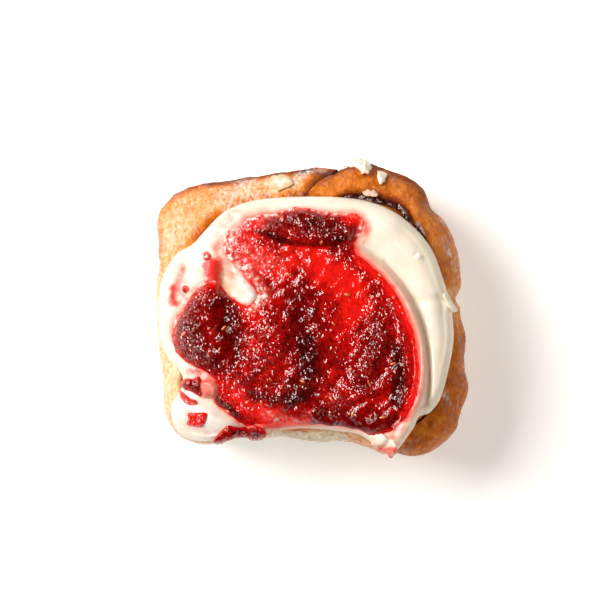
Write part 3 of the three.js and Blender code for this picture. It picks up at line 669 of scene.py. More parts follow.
def new_material(name, **inputs):
    """A material with one Principled shader, its tree and the shader."""
    material = bpy.data.materials.new(name)
    material.use_nodes = True
    tree = material.node_tree
    shader = tree.nodes["Principled BSDF"]
    dress(tree, shader, **inputs)
    return material, tree, shader


def object_place(tree, stretch):
    """Coordinates fixed to the piece, stretched along its axes."""
    fixed = add(tree, "ShaderNodeTexCoord").outputs["Object"]
    return add(tree, "ShaderNodeMapping", {"Vector": fixed, "Scale": stretch}).outputs[0]


def object_noise(tree, size_mm, detail=2.0, stretch=(1, 1, 1), roughness=0.5):
    """Noise of a size in millimetres that stays fixed to the piece."""
    inputs = {"Scale": 1 / (size_mm * MM), "Detail": detail, "Roughness": roughness}
    inputs["Vector"] = object_place(tree, stretch)
    return add(tree, "ShaderNodeTexNoise", inputs).outputs["Fac"]


def object_cells(tree, size_mm, stretch):
    """Cells of a size in millimetres, with the distance from their middle and a colour for each."""
    inputs = {"Vector": object_place(tree, stretch), "Scale": 1 / (size_mm * MM)}
    return add(tree, "ShaderNodeTexVoronoi", inputs).outputs


def mark(tree, name):
    """A number that the piece's corners carry."""
    return add(tree, "ShaderNodeAttribute", attribute_name=name).outputs["Fac"]


def maths(tree, operation, a, b=0.0, clamp=False):
    return add(tree, "ShaderNodeMath", {0: a, 1: b}, operation=operation, use_clamp=clamp).outputs[0]


def stretch_to(tree, value, low, high, new_low=0.0, new_high=1.0):
    """A value between low and high, stretched evenly to between two new ones."""
    return add(
        tree, "ShaderNodeMapRange",
        {"Value": value, "From Min": low, "From Max": high, "To Min": new_low, "To Max": new_high},
    ).outputs[0]


def vary(tree, value, texture, amount, clamp=False):
    """A value made higher and lower by an amount, as a noise texture goes."""
    return maths(tree, "ADD", value, stretch_to(tree, texture, 0.3, 0.7, -amount, amount), clamp)


def ramp(tree, factor, stops):
    """Colours at places between 0 and 1."""
    made = add(tree, "ShaderNodeValToRGB", {"Fac": factor})
    band = made.color_ramp
    while len(band.elements) < len(stops):
        band.elements.new(0.5)
    for element, (at, colour) in zip(band.elements, stops):
        element.position = at
        element.color = (*colour, 1)
    return made.outputs["Color"]


def mix(tree, factor, a, b, **settings):
    """Two colours mixed, each a colour or another node's output."""
    made = add(tree, "ShaderNodeMix", {"Factor": factor}, data_type="RGBA", **settings)
    for socket, value in ((made.inputs[6], a), (made.inputs[7], b)):
        feed(tree, socket, (*value, 1) if isinstance(value, tuple) else value)
    return made.outputs[2]


def bump(tree, shader, *layers):
    """Fine relief from heights, each with its depth in millimetres."""
    normal = None
    for height, depth in layers:
        inputs = {"Height": height, "Strength": 1.0, "Distance": depth * MM}
        if normal is not None:
            inputs["Normal"] = normal
        normal = add(tree, "ShaderNodeBump", inputs).outputs[0]
    dress(tree, shader, normal=normal)
    return normal


def facets(tree, shader, normal, size_mm, stretch, amount):
    """Small wet facets of a size in millimetres, each with its own tilt, laid over the relief."""
    colour = object_cells(tree, size_mm, stretch)["Color"]
    tilt = add(tree, "ShaderNodeVectorMath", {0: colour, 1: (0.5, 0.5, 0.5)}, operation="SUBTRACT")
    leaning = add(tree, "ShaderNodeVectorMath", {0: tilt.outputs[0], "Scale": amount}, operation="SCALE")
    turned = add(tree, "ShaderNodeVectorMath", {0: normal, 1: leaning.outputs[0]})
    final = add(tree, "ShaderNodeVectorMath", {0: turned.outputs[0]}, operation="NORMALIZE")
    dress(tree, shader, normal=final.outputs[0])


def crust_material():
    """Baked crust, with painted light on the ridges of its wrinkles and pits and painted shade in their
    hollows, pale where it is torn, with juice, a film of glazing and painted glints on it.
    """
    material, tree, shader = new_material(
        "baked_crust", subsurface_weight=0.08, subsurface_scale=0.002, subsurface_radius=(1.0, 0.5, 0.25),
    )
    speckle = object_noise(tree, 1.1, 3)
    cloud = object_noise(tree, 7, 3)
    patches = object_noise(tree, 4.5, 3, roughness=0.6)
    pits = object_noise(tree, 2.0, 4, roughness=0.65)
    wrinkle = object_noise(tree, 1.4, 4, stretch=(1.25, 0.9, 1), roughness=0.72)
    baking_and_shade = mark(tree, "bake_and_shade")
    # Painted light and shade: the wrinkle and pit noises that raise the bump also colour the crust paler on
    # their ridges and darker in their hollows
    depth = maths(tree, "MULTIPLY", stretch_to(tree, baking_and_shade, 0.25, 0.5, 0.44, 0.12), mark(tree, "wrinkle_shading"))
    wrinkle_light_and_shade = maths(tree, "MULTIPLY", stretch_to(tree, wrinkle, 0.3, 0.7, 0.5, -0.5), depth)
    bake_and_shade = vary(tree, maths(tree, "ADD", baking_and_shade, wrinkle_light_and_shade), pits, -0.06)
    bake_and_shade = vary(tree, vary(tree, bake_and_shade, patches, 0.1), cloud, 0.06, clamp=True)
    baked_and_shaded = ramp(tree, bake_and_shade, (
        (0.0, (0.93, 0.75, 0.52)), (0.16, (0.90, 0.61, 0.36)), (0.3, (0.85, 0.45, 0.21)),
        (0.42, (0.78, 0.27, 0.05)), (0.56, (0.62, 0.145, 0.006)), (0.76, (0.30, 0.065, 0.008)),
        (1.0, (0.10, 0.026, 0.008)),
    ))
    flakes = object_noise(tree, 1.6, 3)
    pale = ramp(tree, flakes, ((0.35, (0.88, 0.76, 0.56)), (0.65, (0.97, 0.90, 0.76))))
    tan = ramp(tree, flakes, ((0.35, (0.66, 0.48, 0.29)), (0.65, (0.92, 0.76, 0.54))))
    crumb = mix(tree, stretch_to(tree, baking_and_shade, 0.16, 0.36), pale, tan)
    torn = stretch_to(tree, vary(tree, mark(tree, "torn"), pits, 0.35), 0.3, 0.7)
    juicy = mix(tree, mark(tree, "juice"), mix(tree, torn, baked_and_shaded, crumb), (0.2, 0.012, 0.008))
    patchy = stretch_to(tree, object_noise(tree, 1.5, 3, stretch=(1.6, 0.7, 1)), 0.4, 0.62)
    # Whitish colour, partly real glazing and partly painted highlights where the wet crust glints
    glaze_and_glint = maths(tree, "MULTIPLY", mark(tree, "glaze_and_glint"), maths(tree, "MULTIPLY", patchy, 1.3), clamp=True)
    dry = stretch_to(tree, baking_and_shade, 0.6, 0.9, 0, 0.3)
    dry = maths(tree, "ADD", stretch_to(tree, cloud, 0.35, 0.65, 0.16, 0.36), dry)
    shine = stretch_to(tree, patches, 0.48, 0.66, 0.12, 1.0)
    shine = maths(tree, "MULTIPLY", shine, stretch_to(tree, baking_and_shade, 0.3, 0.5, 0.8, 0.36))
    shine = maths(tree, "MULTIPLY", shine, stretch_to(tree, baking_and_shade, 0.58, 0.8, 1, 0.35))
    glazed_and_glinting = mix(tree, glaze_and_glint, juicy, (0.88, 0.82, 0.74))
    dress(tree, shader, base_color=glazed_and_glinting, roughness=dry, specular_ior_level=shine)
    relief = bump(tree, shader, (speckle, 0.2), (pits, 0.3), (wrinkle, 0.7))
    facets(tree, shader, relief, 0.75, (1, 0.6, 0.6), stretch_to(tree, wrinkle, 0.4, 0.6, 0.1, 0.8))
    return material


def filling_material():
    """Cooked berries, nearly black, with a wet coat."""
    material, tree, shader = new_material(
        "berry_filling", roughness=0.25, coat_weight=0.7, coat_roughness=0.1,
    )
    lumps = object_noise(tree, 1.6, 3)
    colour = ramp(tree, lumps, (
        (0.3, (0.012, 0.003, 0.002)), (0.5, (0.06, 0.008, 0.005)), (0.66, (0.16, 0.03, 0.015)),
        (0.8, (0.3, 0.1, 0.05)),
    ))
    dress(tree, shader, base_color=colour)
    relief = bump(tree, shader, (lumps, 0.5), (object_noise(tree, 0.5, 2), 0.1))
    facets(tree, shader, relief, 0.45, (1, 0.6, 1), 0.6)
    return material


def frosting_material():
    """Soft cream, stained pink by the jam, with dough showing through at the thinnest edges of the dabs,
    painted shade in a dent and along a fold, and painted light where it is coloured whitest.
    """
    material, tree, shader = new_material(
        "cream_cheese_frosting", subsurface_scale=0.004, subsurface_radius=(1.0, 0.75, 0.5),
        coat_weight=0.1, coat_roughness=0.2,
    )
    # Random cream tone, lifted towards its whitest stop by painted light on a few spots
    tone_and_painted_light = maths(tree, "ADD", object_noise(tree, 9, 3), mark(tree, "painted_light"))
    cream = ramp(tree, tone_and_painted_light, (
        (0.3, (0.79, 0.70, 0.58)), (0.7, (0.85, 0.77, 0.66)), (1.0, (0.95, 0.92, 0.86)),
    ))
    stain = mark(tree, "stain")
    pink = ramp(tree, stain, (
        (0.0, (1, 1, 1)), (0.3, (1.0, 0.66, 0.62)), (0.65, (0.97, 0.24, 0.22)), (1.0, (0.85, 0.04, 0.04)),
    ))
    stained = mix(tree, 1.0, cream, pink, blend_type="MULTIPLY")
    # The tan mix shows dough through the melting edges of the dabs, and is painted shade in the swirl's
    # dent and fold
    dress(
        tree, shader, base_color=mix(tree, mark(tree, "thin_and_shade"), stained, (0.68, 0.42, 0.23)),
        subsurface_weight=stretch_to(tree, stain, 0, 0.7, 0.35, 0.04),
        roughness=stretch_to(tree, stain, 0.3, 0.9, 0.42, 0.16),
        specular_ior_level=stretch_to(tree, stain, 0.3, 0.9, 0.25, 0.1),
    )
    bump(tree, shader, (object_noise(tree, 3.5, 2), 0.12), (object_noise(tree, 0.7, 2), 0.02))
    return material


def jam_material():
    """Wet red pulp, bright where it is spread thinly, nearly black where it is thick, smeared with cream,
    with painted shade in the crevices between its grains and pale flecks that are partly painted glints.
    """
    material, tree, shader = new_material(
        "berry_jam", roughness=0.08, subsurface_weight=0.03, subsurface_scale=0.001,
        subsurface_radius=(1.0, 0.1, 0.08),
    )
    coarse = mark(tree, "coarse")
    grains = object_cells(tree, 1.0, (1, 0.62, 1))["Distance"]
    # Painted shade: the pulp is coloured darker in the crevices between its grains
    crevice_shade = maths(tree, "MULTIPLY", grains, grains)
    shade = vary(tree, mark(tree, "shade"), object_noise(tree, 1.0, 3), 0.12)
    shade = maths(tree, "ADD", shade, stretch_to(tree, crevice_shade, 0, 0.5, -0.08, 0.12))
    shade = vary(tree, shade, object_noise(tree, 4.5, 3), 0.13, clamp=True)
    red = ramp(tree, shade, (
        (0.0, (0.76, 0.01, 0.006)), (0.28, (0.54, 0.004, 0.003)), (0.5, (0.28, 0.002, 0.002)),
        (0.75, (0.13, 0.001, 0.001)), (1.0, (0.05, 0.001, 0.001)),
    ))
    # Pale flecks of berry skin where the pulp is coarse, partly real skin and partly painted glints
    skin = stretch_to(tree, object_noise(tree, 0.6, 2, stretch=(1.5, 0.8, 1), roughness=0.7), 0.56, 0.66)
    fleck_and_glint = maths(tree, "MULTIPLY", skin, maths(tree, "MULTIPLY", coarse, 0.3))
    flecked_and_glinting = mix(tree, fleck_and_glint, red, (0.55, 0.1, 0.08))
    streak = stretch_to(tree, object_noise(tree, 1.6, 4), 0.36, 0.64, 0.2, 1.25)
    smear = maths(tree, "MULTIPLY", mark(tree, "smear"), streak, clamp=True)
    creamy = ramp(tree, smear, (
        (0.4, (0.90, 0.12, 0.10)), (0.7, (0.92, 0.34, 0.30)), (1.0, (0.92, 0.62, 0.55)),
    ))
    dress(
        tree, shader, base_color=mix(tree, smear, flecked_and_glinting, creamy),
        specular_ior_level=stretch_to(tree, coarse, 0, 0.3, 0.12, 0.5),
    )
    relief = bump(tree, shader, (object_noise(tree, 2.2, 1), 0.15))
    facets(tree, shader, relief, 0.38, (1, 0.52, 0.4), stretch_to(tree, coarse, 0, 0.8, 0.12, 1.05))
    return material


def seed_material():
    """Small hard seeds, from red to straw, with a wet coat."""
    material, tree, shader = new_material("berry_seed", roughness=0.3, coat_weight=0.8, coat_roughness=0.1)
    colour = ramp(tree, object_noise(tree, 2.4, 1), (
        (0.35, (0.5, 0.04, 0.012)), (0.5, (0.66, 0.1, 0.025)), (0.66, (0.78, 0.26, 0.08)),
    ))
    dress(tree, shader, base_color=colour)
    return material


def floor_material():
    return new_material(
        "pale_floor", base_color=(0.92, 0.92, 0.92, 1), roughness=0.9, specular_ior_level=0.1,
        emission_color=(1, 1, 1, 1), emission_strength=0.32,
    )[0]


# The dough

def coil_angles(start, end, steps):
    """Angles from start to end, in degrees from the loose end, with a step for each stretch."""
    angles = [start]
    while angles[-1] < end:
        step = next(size for limit, size in steps if angles[-1] < limit)
        angles.append(min(end, angles[-1] + step))
    return np.array(angles)


def pale_side(degrees):
    """1 where the roll was torn from its neighbours in the pan, on the left and in front."""
    return between(np.mod(degrees, 360), 152, 176, 266, 284)


def dough_relief(x, y, z, degrees, wall):
    """How far the baked surface stands out: blisters and wrinkles, and torn crumb on pale sides."""
    pale = pale_side(degrees) * wall
    light = smooth(np.cos(np.radians(degrees - 150)), 0.1, 0.8)
    broad = 0.55 * grain(x, y, z, 9, seed=1)
    blisters = 0.34 * grain(x, y, z, 3.2, seed=2) + 0.2 * light * grain(x, y, z, 1.7, seed=3)
    torn = 0.9 * grain(x * 1.5, y * 1.5, z * 0.35, 3.0, 3, seed=4)
    return broad + blisters * (1 - 0.6 * pale) + torn * pale - 0.6 * wall


def make_dough(material):
    """One long strip of dough: sections along the coil, each with its top, outer side, foot and back."""
    TOP_STEPS, SIDE_STEPS, INNER_STEPS = 52, 20, 3
    START, END = 0.5, 1485.0
    # The outer turn shows, and so does the stretch of a deeper turn at the coil's open seam
    OUTER_END, DEEP_START, DEEP_END = 384, 640, 735
    THINNEST_TURN = 0.6
    turned = coil_angles(START, END, ((OUTER_END, 0.7), (DEEP_START, 4), (DEEP_END, 1), (END + 1, 9)))
    degrees = LOOSE_END + turned
    roll = roll_radius(degrees)
    outermost = turned <= 360
    inner = seam_radius(turned) + seam_half_gap(turned)
    outer = np.where(outermost, roll, seam_radius(turned - 360) - seam_half_gap(turned - 360))
    outer = np.maximum(outer, inner + THINNEST_TURN)
    start, end = (np.arcsin(np.clip(r / roll, 0, 1) ** 2) for r in (inner, outer))
    sweep = start[:, None] + (end - start)[:, None] * np.linspace(0, 1, TOP_STEPS + 1)
    share = np.sqrt(np.sin(sweep))
    radius = roll[:, None] * share
    x, y = place(degrees[:, None], radius)
    outer_dip = np.where(outermost[:, None], 0, groove(outer[:, None] - radius))
    dip = groove(radius - inner[:, None]) * seam_open(turned)[:, None]
    dip += outer_dip * seam_open(turned - 360)[:, None]
    dip += TIP_DROP * np.clip(1 - turned / TIP_LENGTH, 0, 1)[:, None] * smooth(share, 0.999, 0.9)
    top = np.stack([x, y, dough_top(share, x, y) - dip], -1)
    height = top[:, -1:, 2] * (1 - np.linspace(0, 1, SIDE_STEPS + 1)[1:])
    tucked = roll[:, None] * (1 - FOOT_TUCK * np.clip(1 - height / WAIST, 0, None) ** 2)
    side_radius = np.maximum(inner[:, None] + THINNEST_TURN, np.minimum(outer[:, None], tucked))
    side = np.stack([*place(degrees[:, None], side_radius), height], -1)
    inner_height = top[:, :1, 2] * np.linspace(0, 1, INNER_STEPS + 1)[:-1]
    x, y = place(degrees[:, None], np.repeat(inner[:, None], INNER_STEPS, 1))
    back = np.stack([x, y, inner_height], -1)
    sections = np.concatenate([top, side, back], 1)

    along_path = np.gradient(sections, axis=0)
    across = np.roll(sections, -1, 1) - np.roll(sections, 1, 1)
    normal = np.cross(along_path, across)
    normal /= np.linalg.norm(normal, axis=-1, keepdims=True) + 1e-9
    if normal[10, TOP_STEPS // 2, 2] < 0:
        normal = -normal
    x, y, z = np.moveaxis(sections, -1, 0)
    steps = np.arange(sections.shape[1])
    wall = np.broadcast_to(smooth(steps, TOP_STEPS * 0.75, TOP_STEPS), x.shape)
    angle = np.broadcast_to(degrees[:, None], x.shape)
    in_sight = (turned < OUTER_END) | ((turned > DEEP_START) & (turned < DEEP_END))
    shows = in_sight[:, None] & (steps < TOP_STEPS + SIDE_STEPS)
    covered = smooth(turned, 360, 366)[:, None] * wall
    relief = np.where(shows, dough_relief(x, y, z, angle, wall), 0) * (1 - covered)
    foot = smooth(z, 0.5, 5)
    sections = sections + normal * (relief * foot)[..., None]

    marks = dough_marks(x, y, z, angle, wall)
    return swept_sections("dough_coil_crust", sections, material, marks)


def dough_marks(x, y, z, degrees, wall):
    """How dark the crust is from the oven, with painted shade in its creases and beside the loose end, how
    torn it is, how strongly its wrinkles are painted with light and shade, and what juice, glazing and
    painted glints lie on it.
    """
    turn = np.mod(degrees, 360)
    share = np.hypot(x, y) / roll_radius(degrees)
    # Brown at the right, golden at the back and palest at the left
    golden = between(turn, 80, 100, 250, 270)
    left = between(turn, 140, 178, 250, 270)
    bake_and_shade = 0.56 - 0.26 * golden - 0.16 * left
    bake_and_shade = bake_and_shade - 0.06 * smooth(turn, 60, 30) - 0.12 * smooth(turn, 18, 5) - 0.12 * smooth(turn, 345, 358)
    bake_and_shade = bake_and_shade - 0.24 * between(turn, 262, 276, 292, 300)
    # Darker along the rim and at the foot of the frosting, and painted shadow beside the loose end
    rim = smooth(share, 0.93, 0.99)
    caramel = between(turn, 84, 92, 160, 172) * (1 - 0.7 * smooth(turn, 124, 150))
    lobe = between(turn, 32, 50, 78, 84)
    bake_and_shade = bake_and_shade + rim * (0.55 * caramel + 0.32 * lobe) + 0.05 * golden
    frosted = frosting_radius(degrees) / roll_radius(degrees)
    bake_and_shade = bake_and_shade + 0.2 * golden * smooth(share, frosted + 0.07, frosted + 0.01) * (1 - left)
    bake_and_shade = bake_and_shade + rise_of(SEAM_SHADOW, x, y) * (1 - wall)
    # Torn where it touched its neighbours, and paler low down
    torn = pale_side(degrees) * smooth(wall + smooth(z, 40, 30), 0.2, 1.0)
    torn = np.maximum(torn, rise_of(CRUMB, x, y) * smooth(z, 20, 30))
    down = smooth(z, 38, 12)
    bake_and_shade = bake_and_shade - 0.2 * wall * down * (1 - torn) - 0.3 * down * torn
    # Painted shade darkens the crust in the creases of the coil, and juice soaks in there
    turned = np.mod(turn - LOOSE_END, 360)
    creased = np.maximum(seam_open(turned), 0.7 * (1 - smooth(turned, 14, 28)))
    crease_shade_and_soak = np.clip(1 - seam_distance(x, y) / 2.4, 0, 1) * creased
    bake_and_shade = bake_and_shade + 0.24 * crease_shade_and_soak * (1 - wall)
    patchy = smooth(grain(x, y, z, 3.5, seed=9), -0.6, 0.4)
    brow = smooth(z + 5 * grain(x, y, z, 6, seed=10), 28, 42)
    soaked = 0.6 * crease_shade_and_soak**2 * smooth(z, 30, 36) * smooth(np.mod(LOOSE_END - turn, 360), 14, 30)
    underside = z < 0.6
    marks = {
        "bake_and_shade": np.where(underside, 0.55, bake_and_shade),
        "torn": np.where(underside, 0, torn),
        "juice": np.maximum(rise_of(JUICE, x, y) * patchy * brow, soaked),
        "glaze_and_glint": rise_of(GLAZE_AND_GLINTS, x, y) * brow,
        # How strongly the wrinkles are painted with light and shade, less on the side
        "wrinkle_shading": 1 - 0.7 * wall,
    }
    return {key: np.clip(values, 0, 1) for key, values in marks.items()}


def make_filling(material):
    """The filling between the turns, pressed up a little in the grooves, and the coil's eye."""
    WIDTH_STEPS = 7
    FOOT = 0.3
    START, END = 13, 1155
    # In sight near the loose end and at the coil's open seam
    OUTER_START, OPEN_START, OPEN_END = 30, 290, 384
    turned = coil_angles(START, END, ((OUTER_START, 1), (OPEN_START, 6), (OPEN_END, 0.6), (END + 1, 9)))
    degrees = LOOSE_END + turned
    seam = seam_radius(turned)
    half = np.maximum(seam_half_gap(turned) + 0.25, 0.2)
    across = np.linspace(-1, 1, WIDTH_STEPS)
    x, y = place(degrees[:, None], seam[:, None] + half[:, None] * across)
    share = seam / roll_radius(degrees)
    bed = dough_top(share, *place(degrees, seam)) - SEAM_DEPTH * np.clip(turned / 30, 0, 1)
    lumps = 1.3 * pebbles(x, y, 0 * x, 2.6, seed=2) + 0.5 * grain(x, y, 0 * x, 2.2, seed=5)
    swell = 1.1 * np.sqrt(1 - 0.9 * across**2) + lumps - 0.7
    top = np.stack([x, y, bed[:, None] + swell - 0.2], -1)
    x, y = place(degrees[:, None], seam[:, None] + half[:, None] * np.array([1, -1]))
    low = np.stack([x, y, np.full(x.shape, FOOT)], -1)
    wall = swept_sections("berry_filling_layer", np.concatenate([top, low], 1), material, {})

    SIDES = 32
    angles = np.linspace(0, 360, SIDES, endpoint=False)
    radius = CORE_RADIUS + FILLING / 2 + CLEARANCE
    top_z = in_the_middle(top_at) - 2.0
    profile = [(radius * r, FOOT) for r in (0.5, 1)] + [(radius * r, top_z) for r in (1, 0.6, 0.3)]
    rings = np.array([[(*place(a, r), z) for a in angles] for r, z in profile])
    eye = stacked_rings("berry_filling_eye", rings, (0, 0, FOOT), (0, 0, top_z), material, {})
    return wall, eye


# The frosting

def softness(x, y):
    """1 where the jam thins out softly into the frosting, 0 where its edge is plain."""
    return np.clip(rise_of(SOFT_EDGES, x, y) * 1.5, 0, 1)


def frosting_stain(x, y):
    """How pink the frosting is: along the edge of the jam, and in a few spots."""
    line = smooth_line(JAM_OUTLINE, closed=True)
    outside = -inside_of(line, x, y)[0] + 0.5 * grain(x, y, 0 * x, 3.0, 2, seed=11)
    ridge = np.clip(1 - nearest(smooth_line(INNER_BAND[0]), x, y)[0] / 5, 0, 1)
    reach = 0.4 + 1.8 * ridge + 1.2 * softness(x, y)
    clean = np.clip(1 - rise_of(CLEAN_EDGES, x, y), 0, 1)
    edge = (0.9 - 0.3 * softness(x, y)) * np.exp(-np.clip(outside, 0, None) / reach) * clean
    turned_x, turned_y = 0.8 * x + 0.6 * y, 0.8 * y - 0.6 * x
    patchy = 0.5 + 0.7 * smooth(grain(turned_x, turned_y, 0 * x + 1.1, 2.2, 3, seed=12), -0.4, 0.5)
    return np.clip(np.maximum(edge, rise_of(STAINS, x, y) * patchy), 0, 1)


def make_frosting(material):
    """The big swirl: rings from the middle out, round its lip, and back under it."""
    SECTORS, INNER_RINGS, LIP_RINGS, UNDER_RINGS = 520, 84, 12, 7
    CURL = 118.0
    UNDERCUT = 1.6
    FOOT_INSET = 0.5
    SINK = 0.7
    angles = np.arange(SECTORS) * 360 / SECTORS
    rim = frosting_radius(angles)
    rings = []
    for share in np.linspace(0, 1, INNER_RINGS + 1)[1:]:
        x, y = place(angles, (rim - LIP_REACH) * share)
        rings.append(np.stack([x, y, frosting_top(x, y)], -1))
    crest = frosting_top(*place(angles, rim - LIP_REACH))
    foot_bed = crust_at(*place(angles, rim - FOOT_INSET))
    for turn in np.radians(np.linspace(0, CURL, LIP_RINGS + 1)[1:]):
        out = LIP_REACH if turn < math.pi / 2 else UNDERCUT
        x, y = place(angles, rim - out * (1 - math.sin(turn)))
        fall = min(1.0, LIP_FALL * (1 - math.cos(turn)))
        z = crest + (foot_bed - 0.2 - crest) * fall
        rings.append(np.stack([x, y, np.maximum(z, foot_bed - SINK)], -1))
    last = np.hypot(rings[-1][:, 0], rings[-1][:, 1])
    for share in np.linspace(0.97, 0.05, UNDER_RINGS):
        x, y = place(angles, last * share)
        rings.append(np.stack([x, y, top_at(x, y) - SINK - 0.4], -1))
    x, y, z = np.moveaxis(np.array(rings), -1, 0)
    upper = np.arange(len(rings)) < INNER_RINGS + LIP_RINGS
    wobble = 0.28 * grain(x, y, z, 7, seed=6) + 0.1 * grain(x, y, z, 2.8, seed=7)
    rings = np.stack([x, y, z + np.where(upper[:, None], wobble, 0)], -1)
    first = (0, 0, in_the_middle(frosting_top))
    last = (0, 0, in_the_middle(top_at) - SINK)
    # Marks: the pink stain, painted shade in the dent and along the fold, and painted light on the whitest
    # spots
    marks = {
        "stain": frosting_stain(x, y),
        "thin_and_shade": np.clip(rise_of(PAINTED_SHADE_SPOTS, x, y), 0, 0.9),
        "painted_light": np.clip(rise_of(PAINTED_LIGHT_SPOTS, x, y), 0, 1) * 0.6,
    }
    return stacked_rings("frosting_swirl_smooth", rings, first, last, material, marks)


# The jam

def jam_shade(x, y):
    return np.clip(0.42 + rise_of(JAM_SHADES, x, y), 0, 1)


def jam_coarse(x, y):
    clumps = 0.4 * smooth(grain(x, y, 0 * x, 5.5, 2, seed=16), -0.1, 0.5)
    return np.clip(0.32 + clumps + rise_of(JAM_COARSE, x, y), 0, 1)


def jam_body(x, y, depth):
    pulp = 0.35 * np.sin(x * 0.95 + 1.3 * np.sin(y * 0.5)) * np.sin(y * 0.85 + 0.7)
    body = JAM_EDGE + rise_of(JAM_FORMS, x, y) + pulp + 1.1 * (jam_shade(x, y) - 0.45)
    soft = softness(x, y)
    slope = JAM_SLOPE * (1 + 1.4 * np.clip(soft + rise_of(GENTLE_EDGES, x, y), 0, 1))
    return np.maximum(0.3, body) * (1 - 0.4 * soft) * (1 - np.exp(-depth / slope))


def jam_texture(x, y, depth):
    """Relief of the pulp: soft waves everywhere, and packed lumps where it is coarse."""
    z = np.zeros(x.shape)
    coarse = jam_coarse(x, y)
    lumps = 0.28 * pebbles(x, y * 0.8, z, 2.8, seed=1)
    waves = 0.22 * grain(x, y, z, 3.4, 2, seed=8)
    return (lumps * coarse - 0.15 + waves) * smooth(depth, 0, 1.5)


def make_jam(material):
    """The spread of jam, no further out than the frosting that it lies on."""
    CELL = 0.34
    LIFT, SUNK = 0.08, 0.5

    def top(x, y, depth):
        return frosting_top(x, y) + jam_body(x, y, depth) + jam_texture(x, y, depth) + LIFT

    def bottom(x, y):
        return frosting_top(x, y) - SUNK

    def shade(x, y, depth):
        return jam_shade(x, y) * (1 - 0.5 * (1 - smooth(depth, 0.1, 1.4)))

    def smear(x, y, depth):
        edge = (1 - smooth(depth, 0, 3.6)) * softness(x, y)
        return np.clip(np.maximum(rise_of(JAM_SMEARS, x, y), edge), 0, 1)

    def coarse(x, y, depth):
        return jam_coarse(x, y) * smooth(depth, 0, 1.5) * (1 - 0.5 * softness(x, y))

    outline = ragged(smooth_line(JAM_OUTLINE, closed=True), 0.6, 2.3)
    degrees, radius = degrees_of(*outline.T), np.hypot(*outline.T)
    outline = np.stack(place(degrees, np.minimum(radius, frosting_radius(degrees) - JAM_INSET)), -1)
    marks = {"shade": shade, "smear": smear, "coarse": coarse}
    return patch("jam_spread_pulp", outline, CELL, top, bottom, material, marks)


def bed_at(x, y):
    """Height of what the small bits lie on."""
    crust = crust_at(x, y)
    crust = crust + dough_relief(x, y, crust, degrees_of(x, y), 0.0)
    return np.maximum(frosting_top(x, y), crust)


def draped(x, y, aside):
    """The bed as a soft bit follows it, held up by what lies a little aside."""
    STIFFNESS = 3
    beds = [bed_at(x + aside * a, y + aside * b) - HANG for a, b in ((1, 0), (-1, 0), (0, 1), (0, -1))]
    beds = np.array([bed_at(x, y)] + beds)
    top = beds.max(0)
    return top + np.log(np.exp(STIFFNESS * (beds - top)).sum(0)) / STIFFNESS


def soft_bit(name, outline, height, slope, roughness, lumps, aside, cell, material, marks):
    """A soft bit of a height, whose edge slopes up and runs unevenly, draped over what it lies on."""
    LIFT, SUNK = 0.1, 0.6
    THICKEST = 2

    def top(x, y, depth):
        uneven = lumps * (pebbles(x, y, 0 * x, 1.5, seed=3) + 0.5 * pebbles(x, y, 0 * x, 0.8, seed=4) - 0.6)
        return draped(x, y, aside) + LIFT + (height + uneven) * (1 - np.exp(-depth / slope))

    def bottom(x, y):
        return np.maximum(bed_at(x, y), draped(x, y, aside) - THICKEST) - SUNK

    edge = ragged(smooth_line(outline, closed=True), *roughness)
    return patch(name, edge, cell, top, bottom, material, marks)


def everywhere(value):
    """A mark with one value all over a piece."""
    return lambda x, y, depth: np.full(x.shape, value)


def make_jam_bit(name, outline, material):
    # height, slope, how dark at the edge and in the middle, how coarse, how far its bed is held up
    height, slope, light, dark, grit, aside = {
        "jam_drip": (1.3, 0.8, 0.3, 0.62, 0.3, FURTHER),
        "jam_bit_front": (0.7, 0.4, 0.02, 0.1, 0.35, NEARBY),
        "jam_bit_left": (2.0, 0.7, 0.3, 0.7, 0.6, NEARBY),
    }[name]

    def shade(x, y, depth):
        return light + (dark - light) * smooth(depth, 0.3, 2)

    marks = {"shade": shade, "smear": everywhere(0.0), "coarse": everywhere(grit)}
    return soft_bit(name + "_pulp", outline, height, slope, (0.25, 1.6), 0.5, aside, 0.3, material, marks)


